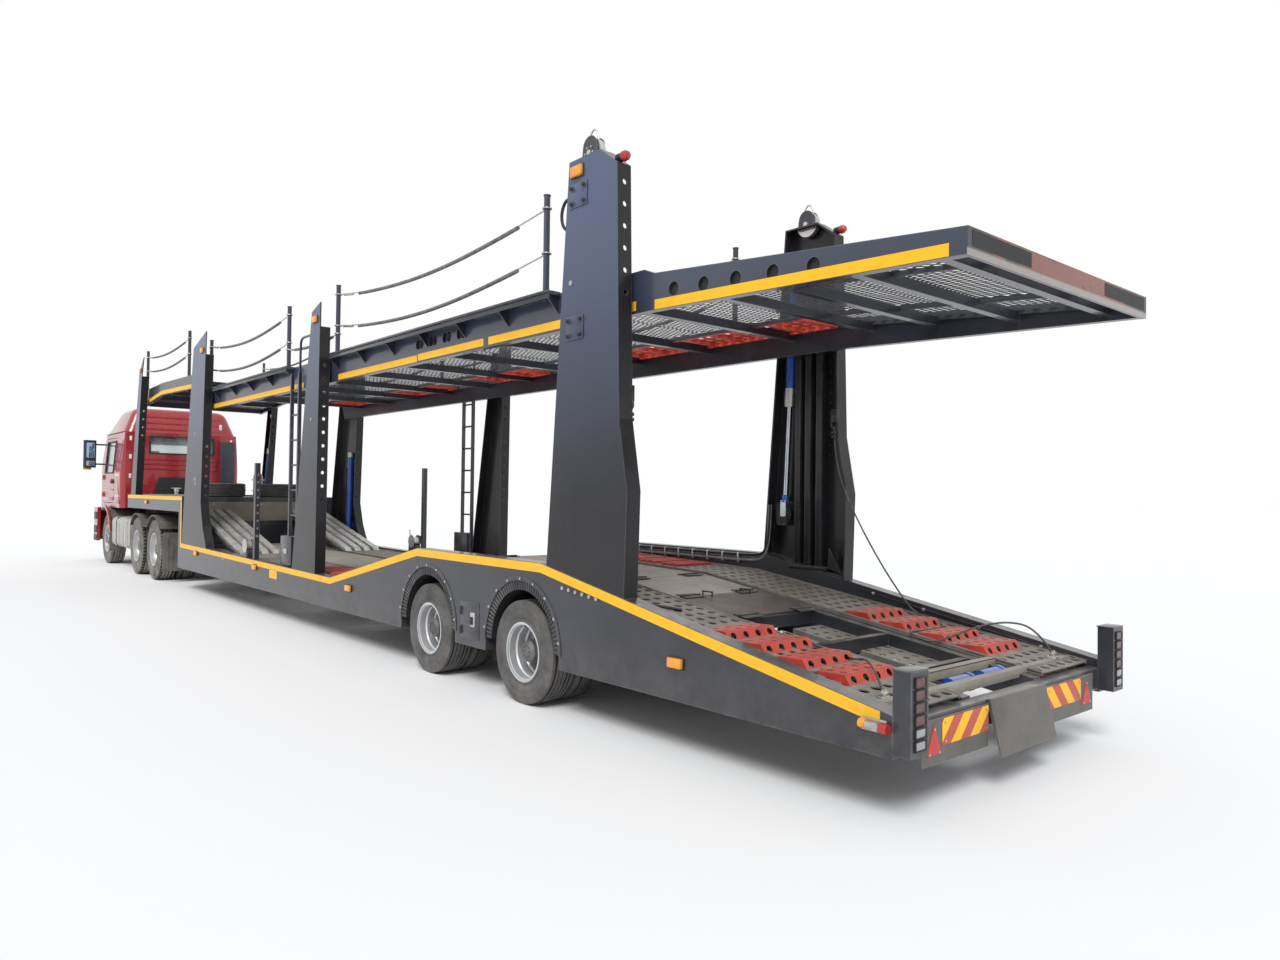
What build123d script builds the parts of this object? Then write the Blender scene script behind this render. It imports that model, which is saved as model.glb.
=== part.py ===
from build123d import *
import os
from math import atan2, degrees

# Car transporter: a three-axle tractor and a two-deck semitrailer, in millimetres.
# Stations run forward along +X from the rear trailer axle, +Y is left and +Z is up.
# The finished parts are shifted so that the origin is under the middle of the whole length.

# Overall size
FRONT_END = 17500
REAR_END = -3520
HALF_WIDTH = 1250
MIDDLE = (FRONT_END + REAR_END) / 2

# Axles and tyres
TRAILER_AXLES = (0, 1490)
DRIVE_AXLES = (11740, 13090)
FRONT_AXLE = 16190
TRAILER_TYRE_RADIUS = 395
TRAILER_TYRE_WIDTH = 235
TRAILER_BEAD_RADIUS = 222
TRAILER_DUAL_SPACING = 260
TRACTOR_TYRE_RADIUS = 530
TRACTOR_TYRE_WIDTH = 300
TRACTOR_BEAD_RADIUS = 286
DRIVE_DUAL_SPACING = 345
DUAL_OUTER_FACE = 1235
FRONT_OUTER_FACE = 1175
TRAILER_SPINDLE = 45
DRIVE_SPINDLE = 60
FRONT_SPINDLE = 42
RUNNING_FIT = 0.05
SEAT_GAP = 0.3
RIM_SEAT = 0.43

# Side girders: the top edge as station, height
GIRDER_TOP = ((-3230, 550), (-250, 1085), (1700, 1090), (3700, 670), (9800, 740))
GIRDER_BOTTOM = 340
GIRDER_THICKNESS = 120
GIRDER_INSIDE = HALF_WIDTH - GIRDER_THICKNESS
STEP_STATION = 9800
STEP_DEPTH = 180
GOOSENECK_TOP = 1485
GOOSENECK_UNDER = 1236
GOOSENECK_FRONT = 13780
ARCH_RADIUS = 500
ARCH_LIFT = 45

# Lower deck
DECK_DROP = 40
HUMP_DROP = 165
CREST_DROP = 110
DECK_PLATE = 10
TRACK_INNER = 480
CENTRE_COVER = TRACK_INNER - 20
RAIL_INNER = 380
RAIL_WIDTH = 80
RAIL_DEPTH = 160
CROSS_DEPTH = 90
CROSS_WIDTH = 60
CROSS_STATIONS = (-2700, -2100, -1450, -600, 745, 2100, 3000, 3900, 5000, 6200, 7400, 8600, 9700)
CHOCK_STATIONS = (-1780, -2070, -2380, -2670)
CHOCK_OUTLINE = ((-115, 0), (110, 0), (110, 22), (-70, 52))
CHOCK_WIDTH = 450
TAIL_DEPTH = 80
BED_POST_STATION = 6330
BED_POST_TOP = 1950
SPARE_STATION = STEP_STATION + 700
LEG_STATION = STEP_STATION + 350
RAMP_INNER = 480
POST_HEIGHT = 770
EYE_RADIUS = 20
EYE_THICKNESS = 30
EYE_HEIGHT = 285

# Columns: channels that open inwards, and the ladders between them
LADDER_Y = HALF_WIDTH - 80
COLUMN_WALL = 14
COLUMN_INSIDE = GIRDER_INSIDE
LIFT_Y = HALF_WIDTH - 66
PIN_HOLE_RADIUS = 19
PIN_HOLE_PITCH = 150

# Upper decks
UPPER_HALF = GIRDER_INSIDE - 35
BEAM_WIDTH = 60
UPPER_FLOOR = 3030
FLOOR_PLATE = 6
FLOOR_HALF = 480
TREAD_INNER = 500
MAIN_PIVOT = (8860, 2960)
FRONT_PIVOT = (9260, 3330)
PIVOT_PIN = 40
PIVOT_BOSS = 72
GUARD_RADIUS = 25
GUARD_TOP = 3900
FRONT_GUARD_TOP = 4220

# Tractor
KINGPIN = sum(DRIVE_AXLES) / 2
KINGPIN_RADIUS = 25
FRAME_INNER = 350
FRAME_OUTER = 430
FRAME_UNDER = 720
FRAME_TOP = 1000
FRAME_REAR = 10950
FRAME_FRONT = 17100
LAMP_BEAM = 60
TANK_REAR = DRIVE_AXLES[1] + 670
TANK_FRONT = FRONT_AXLE - 750
TANK_BRACKETS = (TANK_REAR + 340, TANK_FRONT - 390)
STEER_Y = 870
STEER_PIN = 25

# Cab
CAB_FRONT = 17250
CAB_LENGTH = 2200
FACE_DEPTH = 420
CAB_BACK = CAB_FRONT - CAB_LENGTH
CAB_SPLIT = CAB_FRONT - FACE_DEPTH
CAB_FLOOR = 1200
CAB_HALF = 1150
CAB_TOP_HALF = CAB_HALF - 70
CAB_TOP = 2780
BELT_LINE = 1900
SCREEN_BASE = 1780
SCREEN_TOP_FRONT = CAB_SPLIT + 70
CAB_WALL = 45
ROOF_TOP = 3300
DOOR_WIDTH = 1060
DOOR_FRONT = CAB_SPLIT - 70
DOOR_REAR = DOOR_FRONT - DOOR_WIDTH
DOOR_SILL = 1290
DOOR_HEAD = 2680
DOOR_GAP = 12
HINGE_Y = CAB_HALF + 20
HINGE_PIN = 8
HINGE_HEIGHTS = (1450, 1820)
LAMP_DEPTH = 15
INTAKE_DEPTH = 130


def block(x0, x1, y0, y1, z0, z1):
    """A box between two corners."""
    return Pos((x0 + x1) / 2, (y0 + y1) / 2, (z0 + z1) / 2) * Box(x1 - x0, y1 - y0, z1 - z0)


def side_plate(outline, y0, y1):
    """A plate cut to an outline of station and height, from y0 to y1."""
    face = make_face(Polyline(*[(s, y0, z) for s, z in outline], close=True))
    return extrude(face, y1 - y0, dir=(0, 1, 0))


def plan_plate(outline, z0, z1):
    """A plate cut to an outline of station and y, from z0 to z1."""
    face = make_face(Polyline(*[(s, y, z0) for s, y in outline], close=True))
    return extrude(face, z1 - z0, dir=(0, 0, 1))


def rod(start, end, radius):
    """A round bar between two points."""
    path = Vector(end) - Vector(start)
    bar = Cylinder(radius, path.length, align=(Align.CENTER, Align.CENTER, Align.MIN))
    return Plane(origin=start, z_dir=path) * bar


def cross_rod(station, z, radius, y0, y1):
    """A round bar across the vehicle."""
    return rod((station, y0, z), (station, y1, z), radius)


def spun(profile, station, z):
    """A solid of revolution about a cross axle, from radius and y."""
    face = make_face(Polyline(*[(r, y, 0) for r, y in profile], close=True))
    return Pos(station, 0, z) * revolve(face, Axis.Y)


def mirrored(shape):
    return mirror(shape, about=Plane.XZ)


def pair(shape):
    return [shape, mirrored(shape)]


def height_on(line, station):
    """The height of a side line at a station."""
    for (s0, z0), (s1, z1) in zip(line, line[1:]):
        if s0 <= station <= s1:
            return z0 + (z1 - z0) * (station - s0) / (s1 - s0)
    return line[-1][1]


def girder_top(station):
    return height_on(GIRDER_TOP, station)


DECK_DROPS = (DECK_DROP, HUMP_DROP, CREST_DROP, DECK_DROP, DECK_DROP)
DECK_LINE = tuple((s, z - drop) for (s, z), drop in zip(GIRDER_TOP, DECK_DROPS))


def deck_top(station):
    return height_on(DECK_LINE, station)


def strip(line, start, end, drop, thickness, y0, y1):
    """A floor strip that follows a side line, its top face a drop below it."""
    inside = [(s, z) for s, z in line if start < s < end]
    ends = [(start, height_on(line, start))] + inside + [(end, height_on(line, end))]
    top = [(s, z - drop) for s, z in ends]
    under = [(s, z - thickness) for s, z in reversed(top)]
    return side_plate(top + under, y0, y1)


# Wheels

def tyre_profile(radius, width, bead, centre):
    """Half outline mirrored about the tyre's middle: bead, sidewall, shoulder, tread."""
    side = ((bead + SEAT_GAP, 0.40), (bead + 0.45 * (radius - bead), 0.5),
            (radius - 0.16 * (radius - bead), 0.47), (radius, 0.40))
    low = [(r, centre - share * width) for r, share in side]
    high = [(r, centre + share * width) for r, share in reversed(side)]
    return low + high


def dual_rim(station, radius, bead, width, outer_y, spacing, spindle, hub, holes):
    """Twin rims bolted back to back on a hub, with a deep dish on the outside."""
    inner_y = outer_y - spacing
    mount = outer_y - spacing / 2
    well = bead - 14
    seat = RIM_SEAT * width
    lip = outer_y + seat + 10
    cap = outer_y + 0.32 * width
    profile = [(spindle + RUNNING_FIT, mount - 60), (hub, mount - 60), (hub, mount - 12), (well, mount - 12),
               (well, inner_y - seat), (bead, inner_y - seat), (bead, outer_y + seat),
               (bead + 16, outer_y + seat), (bead + 16, lip), (well, lip), (well, mount + 12),
               (hub, mount + 12), (hub - 20, cap - 20), (hub - 45, cap), (0, cap), (0, cap - 30),
               (spindle + RUNNING_FIT, cap - 30)]
    rim = spun(profile, station, radius)
    hole_circle = (hub + well) / 2
    spin = Pos(station, mount, radius) * Rot(90, 0, 0)
    for place in PolarLocations(hole_circle, holes):
        rim -= spin * place * Cylinder(0.3 * (well - hub), 60)
    return rim


def front_rim(station, radius, bead, width, centre, spindle, hub, holes):
    """A single rim with its disc near the outer face."""
    well = bead - 14
    seat = RIM_SEAT * width
    disc = centre + 0.22 * width
    cap = centre + 0.5 * width
    profile = [(spindle + RUNNING_FIT, disc - 50), (hub, disc - 50), (hub, disc - 12), (well, disc - 12),
               (well, centre - seat), (bead, centre - seat), (bead, centre + seat),
               (bead + 16, centre + seat), (bead + 16, centre + seat + 10), (well, centre + seat + 10),
               (well, disc + 12), (hub, disc + 12), (hub - 10, cap - 15), (hub - 30, cap), (0, cap),
               (0, disc + 30), (spindle + RUNNING_FIT, disc + 30)]
    rim = spun(profile, station, radius)
    spin = Pos(station, disc, radius) * Rot(90, 0, 0)
    for place in PolarLocations((hub + well) / 2, holes):
        rim -= spin * place * Cylinder(0.2 * (well - hub), 60)
    return rim


def trailer_tyres(station):
    outer = DUAL_OUTER_FACE - TRAILER_TYRE_WIDTH / 2
    tyres = []
    for centre in (outer, outer - TRAILER_DUAL_SPACING):
        profile = tyre_profile(TRAILER_TYRE_RADIUS, TRAILER_TYRE_WIDTH, TRAILER_BEAD_RADIUS, centre)
        tyres.append(spun(profile, station, TRAILER_TYRE_RADIUS))
    return tyres


def trailer_rim(station):
    outer = DUAL_OUTER_FACE - TRAILER_TYRE_WIDTH / 2
    return dual_rim(station, TRAILER_TYRE_RADIUS, TRAILER_BEAD_RADIUS, TRAILER_TYRE_WIDTH, outer,
                    TRAILER_DUAL_SPACING, TRAILER_SPINDLE, 100, 8)


def drive_tyres(station):
    outer = DUAL_OUTER_FACE - TRACTOR_TYRE_WIDTH / 2
    tyres = []
    for centre in (outer, outer - DRIVE_DUAL_SPACING):
        profile = tyre_profile(TRACTOR_TYRE_RADIUS, TRACTOR_TYRE_WIDTH, TRACTOR_BEAD_RADIUS, centre)
        tyres.append(spun(profile, station, TRACTOR_TYRE_RADIUS))
    return tyres


def drive_rim(station):
    outer = DUAL_OUTER_FACE - TRACTOR_TYRE_WIDTH / 2
    return dual_rim(station, TRACTOR_TYRE_RADIUS, TRACTOR_BEAD_RADIUS, TRACTOR_TYRE_WIDTH, outer,
                    DRIVE_DUAL_SPACING, DRIVE_SPINDLE, 130, 10)


def steered_tyre():
    centre = FRONT_OUTER_FACE - TRACTOR_TYRE_WIDTH / 2
    profile = tyre_profile(TRACTOR_TYRE_RADIUS, TRACTOR_TYRE_WIDTH, TRACTOR_BEAD_RADIUS, centre)
    return spun(profile, FRONT_AXLE, TRACTOR_TYRE_RADIUS)


def steered_rim():
    centre = FRONT_OUTER_FACE - TRACTOR_TYRE_WIDTH / 2
    return front_rim(FRONT_AXLE, TRACTOR_TYRE_RADIUS, TRACTOR_BEAD_RADIUS, TRACTOR_TYRE_WIDTH, centre,
                     FRONT_SPINDLE, 120, 10)


# Trailer chassis

def side_girder():
    """One side of the trailer: tail slope, wheel hump, low bed, step and gooseneck in one plate."""
    tail = GIRDER_TOP[0][0]
    outline = [(tail, GIRDER_BOTTOM)] + list(GIRDER_TOP)
    outline += [(STEP_STATION, GOOSENECK_TOP), (GOOSENECK_FRONT, GOOSENECK_TOP),
                (GOOSENECK_FRONT, GOOSENECK_UNDER), (STEP_STATION + STEP_DEPTH, GOOSENECK_UNDER),
                (STEP_STATION + STEP_DEPTH, GIRDER_BOTTOM)]
    girder = side_plate(outline, GIRDER_INSIDE, HALF_WIDTH)
    for axle in TRAILER_AXLES:
        centre = TRAILER_TYRE_RADIUS + ARCH_LIFT
        girder -= cross_rod(axle, centre, ARCH_RADIUS, GIRDER_INSIDE - 1, HALF_WIDTH + 1)
        girder -= block(axle - ARCH_RADIUS, axle + ARCH_RADIUS, GIRDER_INSIDE - 1, HALF_WIDTH + 1,
                        GIRDER_BOTTOM - 1, centre)
    return girder


def trailer_frame():
    """Two rails under the lower deck, its cross-members, the tail beam and the lamp posts."""
    tail = GIRDER_TOP[0][0]
    rail = strip(DECK_LINE, tail + TAIL_DEPTH, STEP_STATION, DECK_PLATE, RAIL_DEPTH,
                 RAIL_INNER, RAIL_INNER + RAIL_WIDTH)
    frame = rail + mirrored(rail)
    for station in CROSS_STATIONS:
        ends = (station - CROSS_WIDTH / 2, station + CROSS_WIDTH / 2)
        top = min(deck_top(end) for end in ends) - DECK_PLATE
        frame += block(*ends, -GIRDER_INSIDE, GIRDER_INSIDE, top - CROSS_DEPTH, top)
    frame += block(tail, tail + TAIL_DEPTH, -GIRDER_INSIDE, GIRDER_INSIDE, GIRDER_BOTTOM + 20,
                   DECK_LINE[0][1] - DECK_PLATE)
    post = block(tail - 100, tail, GIRDER_INSIDE - 30, HALF_WIDTH, GIRDER_BOTTOM + 20, POST_HEIGHT)
    frame += post
    frame += mirrored(post)
    eye = block(tail + 5, tail + TAIL_DEPTH - 5, -EYE_THICKNESS / 2, EYE_THICKNESS / 2, 245,
                GIRDER_BOTTOM + 20)
    eye -= cross_rod(tail + TAIL_DEPTH / 2, EYE_HEIGHT, EYE_RADIUS, -EYE_THICKNESS, EYE_THICKNESS)
    return frame + eye


def landing_leg():
    """A parked leg under the rear of the gooseneck, with its foot."""
    leg = block(LEG_STATION - 60, LEG_STATION + 60, 640, 760, 420, GOOSENECK_UNDER)
    return leg + block(LEG_STATION - 100, LEG_STATION + 100, 600, 800, 300, 420)


def gooseneck():
    """Top plate, beams, webs, coupler plate and kingpin between the two girder sides."""
    rear = STEP_STATION + STEP_DEPTH
    top = GOOSENECK_TOP - 9
    neck = block(rear, GOOSENECK_FRONT, -GIRDER_INSIDE, GIRDER_INSIDE, top - DECK_PLATE, top)
    neck += block(rear, rear + 300, -GIRDER_INSIDE, GIRDER_INSIDE, GOOSENECK_UNDER, top)
    neck += block(GOOSENECK_FRONT - 100, GOOSENECK_FRONT, -GIRDER_INSIDE, GIRDER_INSIDE, GOOSENECK_UNDER, top)
    neck += block(rear - 10, rear, -GIRDER_INSIDE, GIRDER_INSIDE, 620, top)
    web = block(rear, GOOSENECK_FRONT, 420, 440, GOOSENECK_UNDER, top)
    neck += web
    neck += mirrored(web)
    neck += block(KINGPIN - 700, KINGPIN + 900, -560, 560, GOOSENECK_UNDER, GOOSENECK_UNDER + 14)
    neck += rod((KINGPIN, 0, GOOSENECK_UNDER), (KINGPIN, 0, GOOSENECK_UNDER - 86), KINGPIN_RADIUS)
    return neck


def lower_tracks():
    """Left wheel track of the lower deck, from the tail over the hump to the step."""
    tail = DECK_LINE[0][0] + TAIL_DEPTH
    return strip(DECK_LINE, tail, STEP_STATION, 0, DECK_PLATE, TRACK_INNER, GIRDER_INSIDE)


def centre_cover():
    return strip(DECK_LINE, CROSS_STATIONS[2], STEP_STATION, 0, DECK_PLATE, -CENTRE_COVER, CENTRE_COVER)


def wheel_chock(station):
    """A wedge on the tail slope that steps up towards the rear."""
    (s0, z0), (s1, z1) = DECK_LINE[:2]
    slope = degrees(atan2(z1 - z0, s1 - s0))
    chock = side_plate(CHOCK_OUTLINE, TRACK_INNER + 40, TRACK_INNER + 40 + CHOCK_WIDTH)
    return Pos(station, 0, deck_top(station)) * Rot(0, -slope, 0) * chock


def loading_ramp():
    """A fixed ramp from the low bed up to the gooseneck step."""
    rear = STEP_STATION + STEP_DEPTH - 10
    foot = (7500, 7700)
    outline = [(foot[0], deck_top(foot[0])), (foot[1], deck_top(foot[1])),
               (rear, GOOSENECK_UNDER - 31), (rear, GOOSENECK_UNDER + 14)]
    return side_plate(outline, RAMP_INNER, GIRDER_INSIDE - 80)


def tail_boards():
    """Two marker boards and a tilted centre plate on the tail beam."""
    tail = GIRDER_TOP[0][0]
    board = block(tail - 10, tail, 345, GIRDER_INSIDE - 130, 250, 480)
    centre = side_plate([(tail, 500), (tail, 460), (tail - 70, 200), (tail - 82, 200), (tail - 12, 500)],
                        -330, 330)
    return pair(board) + [centre]


def tail_lamps():
    """Six lamps up the rear face of each tail post."""
    face = GIRDER_TOP[0][0] - 100
    lamps = []
    for step in range(6):
        z = 395 + 60 * step
        lamps += pair(block(face - 6, face, HALF_WIDTH - 115, HALF_WIDTH - 35, z, z + 42))
    return lamps


def trailer_axle(station):
    """Axle beam, brake drums, spindles, leaf springs and their hangers."""
    z = TRAILER_TYRE_RADIUS
    outer = DUAL_OUTER_FACE - TRAILER_TYRE_WIDTH / 2
    mount = outer - TRAILER_DUAL_SPACING / 2
    cap = outer + 0.32 * TRAILER_TYRE_WIDTH
    drum_end = mount - 75
    axle = cross_rod(station, z, 64, -drum_end, drum_end)
    spring_y = (RAIL_INNER, RAIL_INNER + RAIL_WIDTH)
    rail_under = DECK_PLATE + RAIL_DEPTH
    side = cross_rod(station, z, 165, drum_end - 200, drum_end)
    side += cross_rod(station, z, TRAILER_SPINDLE, drum_end, cap - 40)
    side += side_plate([(station - 480, 560), (station - 480, 520), (station - 90, 440), (station + 90, 440),
                        (station + 480, 520), (station + 480, 560), (station + 90, 500),
                        (station - 90, 500)], *spring_y)
    for end in (station - 480, station + 410):
        under = min(deck_top(end), deck_top(end + 70)) - rail_under
        side += block(end, end + 70, *spring_y, 515, under)
    return axle + side + mirrored(side)


def spare_wheel(station, y):
    """A spare wheel lying flat on the gooseneck."""
    base = GOOSENECK_TOP - 9
    width = TRAILER_TYRE_WIDTH
    bead = TRAILER_BEAD_RADIUS
    tyre = tyre_profile(TRAILER_TYRE_RADIUS, width, bead - SEAT_GAP - 15, width / 2)
    wheel = revolve(make_face(Polyline(*[(r, 0, z) for r, z in tyre], close=True)), Axis.Z)
    wheel += Pos(0, 0, width / 2) * Cylinder(bead, 24)
    wheel -= Pos(0, 0, width / 2) * Cylinder(90, 40)
    return Pos(station, y, base) * wheel


# Columns and lifts

COLUMN_A = ((13140, None), (13530, None), (13020, 3780), (12690, 4030), (12830, 3640))
COLUMN_B = ((8400, None), (9780, None), (9670, 1500), (9290, 3790), (8610, 3970), (8740, 1400), (8610, 1040))
COLUMN_C = ((4140, None), (4850, None), (4360, 3620), (4110, 3700))
COLUMN_D = ((-1210, None), (-330, None), (-550, 3960), (-900, 3960), (-1090, 3820), (-1140, 2100),
            (-1230, 1620))


def column_top(station):
    return girder_top(station) if station < STEP_STATION else GOOSENECK_TOP


def column(outline, flange_top=None):
    """A channel column on the girder: outer web, edge flanges up to a height, open inwards."""
    points = [(s, column_top(s) if z is None else z) for s, z in outline]
    solid = side_plate(points, COLUMN_INSIDE, HALF_WIDTH)
    face = make_face(Polyline(*[(s, COLUMN_INSIDE - 1, z) for s, z in points], close=True))
    hollow = offset(face, -COLUMN_WALL, kind=Kind.INTERSECTION)
    post = solid - extrude(hollow, GIRDER_THICKNESS - COLUMN_WALL + 1, dir=(0, 1, 0))
    if flange_top:
        stations = [s for s, z in outline]
        post -= block(min(stations), max(stations), COLUMN_INSIDE - 1, HALF_WIDTH - COLUMN_WALL, flange_top,
                      FRONT_GUARD_TOP)
    return post


def pin_holes(rear, front, low, count):
    """A row of locking holes up the rear flange, to cut from a column."""
    middle = (COLUMN_INSIDE + HALF_WIDTH - COLUMN_WALL) / 2
    levels = [low + PIN_HOLE_PITCH * step for step in range(count)]
    return [rod((rear, middle, z), (front, middle, z), PIN_HOLE_RADIUS) for z in levels]


def pivot_boss(pivot):
    return cross_rod(*pivot, PIVOT_BOSS, COLUMN_INSIDE, HALF_WIDTH - COLUMN_WALL)


def pivot_bore(pivot):
    return cross_rod(*pivot, PIVOT_PIN + RUNNING_FIT, COLUMN_INSIDE - 1, HALF_WIDTH - COLUMN_WALL)


def pivot_column():
    """Column B with the bearings of both upper decks."""
    post = column(COLUMN_B, 3630)
    for pivot in (MAIN_PIVOT, FRONT_PIVOT):
        post += pivot_boss(pivot)
    for pivot in (MAIN_PIVOT, FRONT_PIVOT):
        post -= pivot_bore(pivot)
    return post - pin_holes(8500, 8760, 1500, 6)


def rear_column():
    """Column D with a rope sheave on its top."""
    sheave = cross_rod(-760, 3975, 105, HALF_WIDTH - 80, HALF_WIDTH - 35)
    return column(COLUMN_D) - pin_holes(-1260, -1060, 2950, 6) + sheave


def middle_column():
    """Column C with its locking holes."""
    return column(COLUMN_C, 3430) - pin_holes(4080, 4200, 1500, 11)


def front_column():
    """Column A over the gooseneck, with its locking holes."""
    post = column(COLUMN_A, 3690)
    return post - pin_holes(12700, 13010, 2300, 6)


REAR_LIFT = ((-532, 1500), (-640, 3750))
FRONT_LIFT = ((13320, 1560), (13005, 3120))
PIVOT_LIFT = ((9050, 900), (8990, 2750))
BARREL_RADIUS = 46
BARREL_BORE = 36
ROD_RADIUS = 24


def along(axis, distance):
    """A point on a lift's axis, a distance from its lower end."""
    low = Vector(axis[0][0], LIFT_Y, axis[0][1])
    high = Vector(axis[1][0], LIFT_Y, axis[1][1])
    return low + (high - low).normalized() * distance


def lift_length(axis):
    low, high = Vector(*axis[0]), Vector(*axis[1])
    return (high - low).length


def barrel(axis, closed, open_end):
    """A cylinder barrel with a gland at its open end, held to the column's web."""
    sign = 1 if open_end > closed else -1
    tube = rod(along(axis, closed), along(axis, open_end), BARREL_RADIUS)
    tube -= rod(along(axis, closed + sign * 30), along(axis, open_end - sign * 60), BARREL_BORE)
    for distance in (closed + sign * 120, open_end - sign * 120):
        centre = along(axis, distance)
        saddle = block(centre.X - 40, centre.X + 40, centre.Y + BARREL_BORE + 2, HALF_WIDTH - COLUMN_WALL,
                       centre.Z - 35, centre.Z + 35)
        tube += saddle
    return tube - rod(along(axis, open_end - sign * 61), along(axis, open_end + sign * 1),
                      ROD_RADIUS + RUNNING_FIT)


def rear_lift_rod():
    """Hanging rod with the travelling sheave of the deck rope."""
    piston = rod(along(REAR_LIFT, 0), along(REAR_LIFT, 1450), ROD_RADIUS)
    low = along(REAR_LIFT, 0)
    sheave = cross_rod(low.X, low.Z - 60, 80, LIFT_Y - 16, LIFT_Y + 16)
    fork = block(low.X - 30, low.X + 30, LIFT_Y - 32, LIFT_Y + 32, low.Z - 80, low.Z + 60)
    return piston + fork + sheave


def front_lift_rod():
    """Rod that pushes the front deck, with its eye."""
    length = lift_length(FRONT_LIFT)
    high = along(FRONT_LIFT, length)
    eye = cross_rod(high.X, high.Z, 40, LIFT_Y - 30, LIFT_Y + 30)
    return rod(along(FRONT_LIFT, 600), high, ROD_RADIUS) + eye


def ladder():
    """A climbing ladder beside column C."""
    rails = (4900, 5150)
    frame = None
    for station in rails:
        rail = block(station, station + 30, LADDER_Y - 20, LADDER_Y + 20, girder_top(station + 30), 3000)
        frame = rail if frame is None else frame + rail
    for step in range(7):
        z = 1000 + 300 * step
        frame += rod((rails[0] + 15, LADDER_Y, z), (rails[1] + 15, LADDER_Y, z), 12)
    return frame


def bed_post():
    """A short punched post on the low bed's girder."""
    middle = GIRDER_INSIDE + GIRDER_THICKNESS / 2
    ends = (BED_POST_STATION - 30, BED_POST_STATION + 30)
    post = block(*ends, middle - 30, middle + 30, girder_top(ends[1]), BED_POST_TOP)
    for step in range(9):
        z = 1000 + 100 * step
        post -= rod((ends[0] - 1, middle, z), (ends[1] + 1, middle, z), 14)
    return post


# Upper decks

MAIN_BEAM = ((-3520, 2745), (-1250, 2815), (8950, 2820), (9090, 3110), (-1200, 3100), (-1300, 3060),
             (-3520, 2880))
FRONT_BEAM = ((9180, 3210), (11960, 3285), (13380, 3170), (13330, 3465), (11900, 3500), (9180, 3440))
FLOOR_LINE = ((-3490, 2850), (-1250, UPPER_FLOOR - 10), (8900, UPPER_FLOOR))
FRONT_FLOOR_LINE = ((9220, 3260), (11960, 3335), (13340, 3225))
WALKWAYS = ((-250, 3950), (5300, 8400))
WALKWAY_TOP = 3098
WALKWAY_EDGE = HALF_WIDTH - 45
MAIN_GUARDS = (-10, 4060, 5610, 9000)
FRONT_GUARDS = (10280, 13220)
MAIN_CROSS = (-3300, -2700, -2100, -1500, -700, 300, 1300, 2300, 3300, 4300, 5300, 6300, 7300, 8300)
FRONT_CROSS = (9500, 10500, 11500, 12400, 13200)
END_PLATE = 30
SIDE_HOLES = ((-2610, 2862), (-2320, 2878), (-2030, 2894), (-1760, 2909), (-1490, 2924))
SIDE_SLOTS = (1200, 1460, 1720, 1980)
SIDE_HOLE_RADIUS = 46
SIDE_HOLE_DEPTH = 25
RED_TREADS = ((-1200, 1250), (2900, 4000), (5100, 6100), (7600, 8500))


def floor_under(line, station):
    ends = (station - CROSS_WIDTH / 2, station + CROSS_WIDTH / 2)
    return min(height_on(line, end) for end in ends) - FLOOR_PLATE


def guard_post(station, beam_top, top):
    return rod((station, UPPER_HALF - BEAM_WIDTH / 2, beam_top), (station, UPPER_HALF - BEAM_WIDTH / 2, top),
               GUARD_RADIUS)


def standing(posts, deck):
    """Posts of both sides, cut off where they stand on the deck's beams."""
    return [side - deck for post in posts for side in pair(post)]


def main_deck():
    """Side beams, cross-beams and pivot pins of the long upper deck, then its walkways and guard posts."""
    side = side_plate(MAIN_BEAM, UPPER_HALF - BEAM_WIDTH, UPPER_HALF)
    sunk = (UPPER_HALF - SIDE_HOLE_DEPTH, UPPER_HALF + 1)
    for station, z in SIDE_HOLES:
        side -= cross_rod(station, z, SIDE_HOLE_RADIUS, *sunk)
    for station in SIDE_SLOTS:
        for end in (station, station + 70):
            side -= cross_rod(end, 2990, SIDE_HOLE_RADIUS, *sunk)
    side += cross_rod(*MAIN_PIVOT, PIVOT_PIN, UPPER_HALF - BEAM_WIDTH, HALF_WIDTH - COLUMN_WALL - 10)
    deck = side + mirrored(side)
    for station in MAIN_CROSS:
        top = floor_under(FLOOR_LINE, station)
        deck += block(station - CROSS_WIDTH / 2, station + CROSS_WIDTH / 2, -UPPER_HALF + BEAM_WIDTH,
                      UPPER_HALF - BEAM_WIDTH, top - 70, top)
    deck += block(REAR_END, REAR_END + END_PLATE, -UPPER_HALF, UPPER_HALF, MAIN_BEAM[0][1], MAIN_BEAM[-1][1])
    walkways = [side for start, end in WALKWAYS
                for side in pair(block(start, end, UPPER_HALF, WALKWAY_EDGE, WALKWAY_TOP - 18, WALKWAY_TOP))]
    posts = [guard_post(station, WALKWAY_TOP - 50, GUARD_TOP) for station in MAIN_GUARDS]
    return [deck] + walkways + standing(posts, deck)


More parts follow.
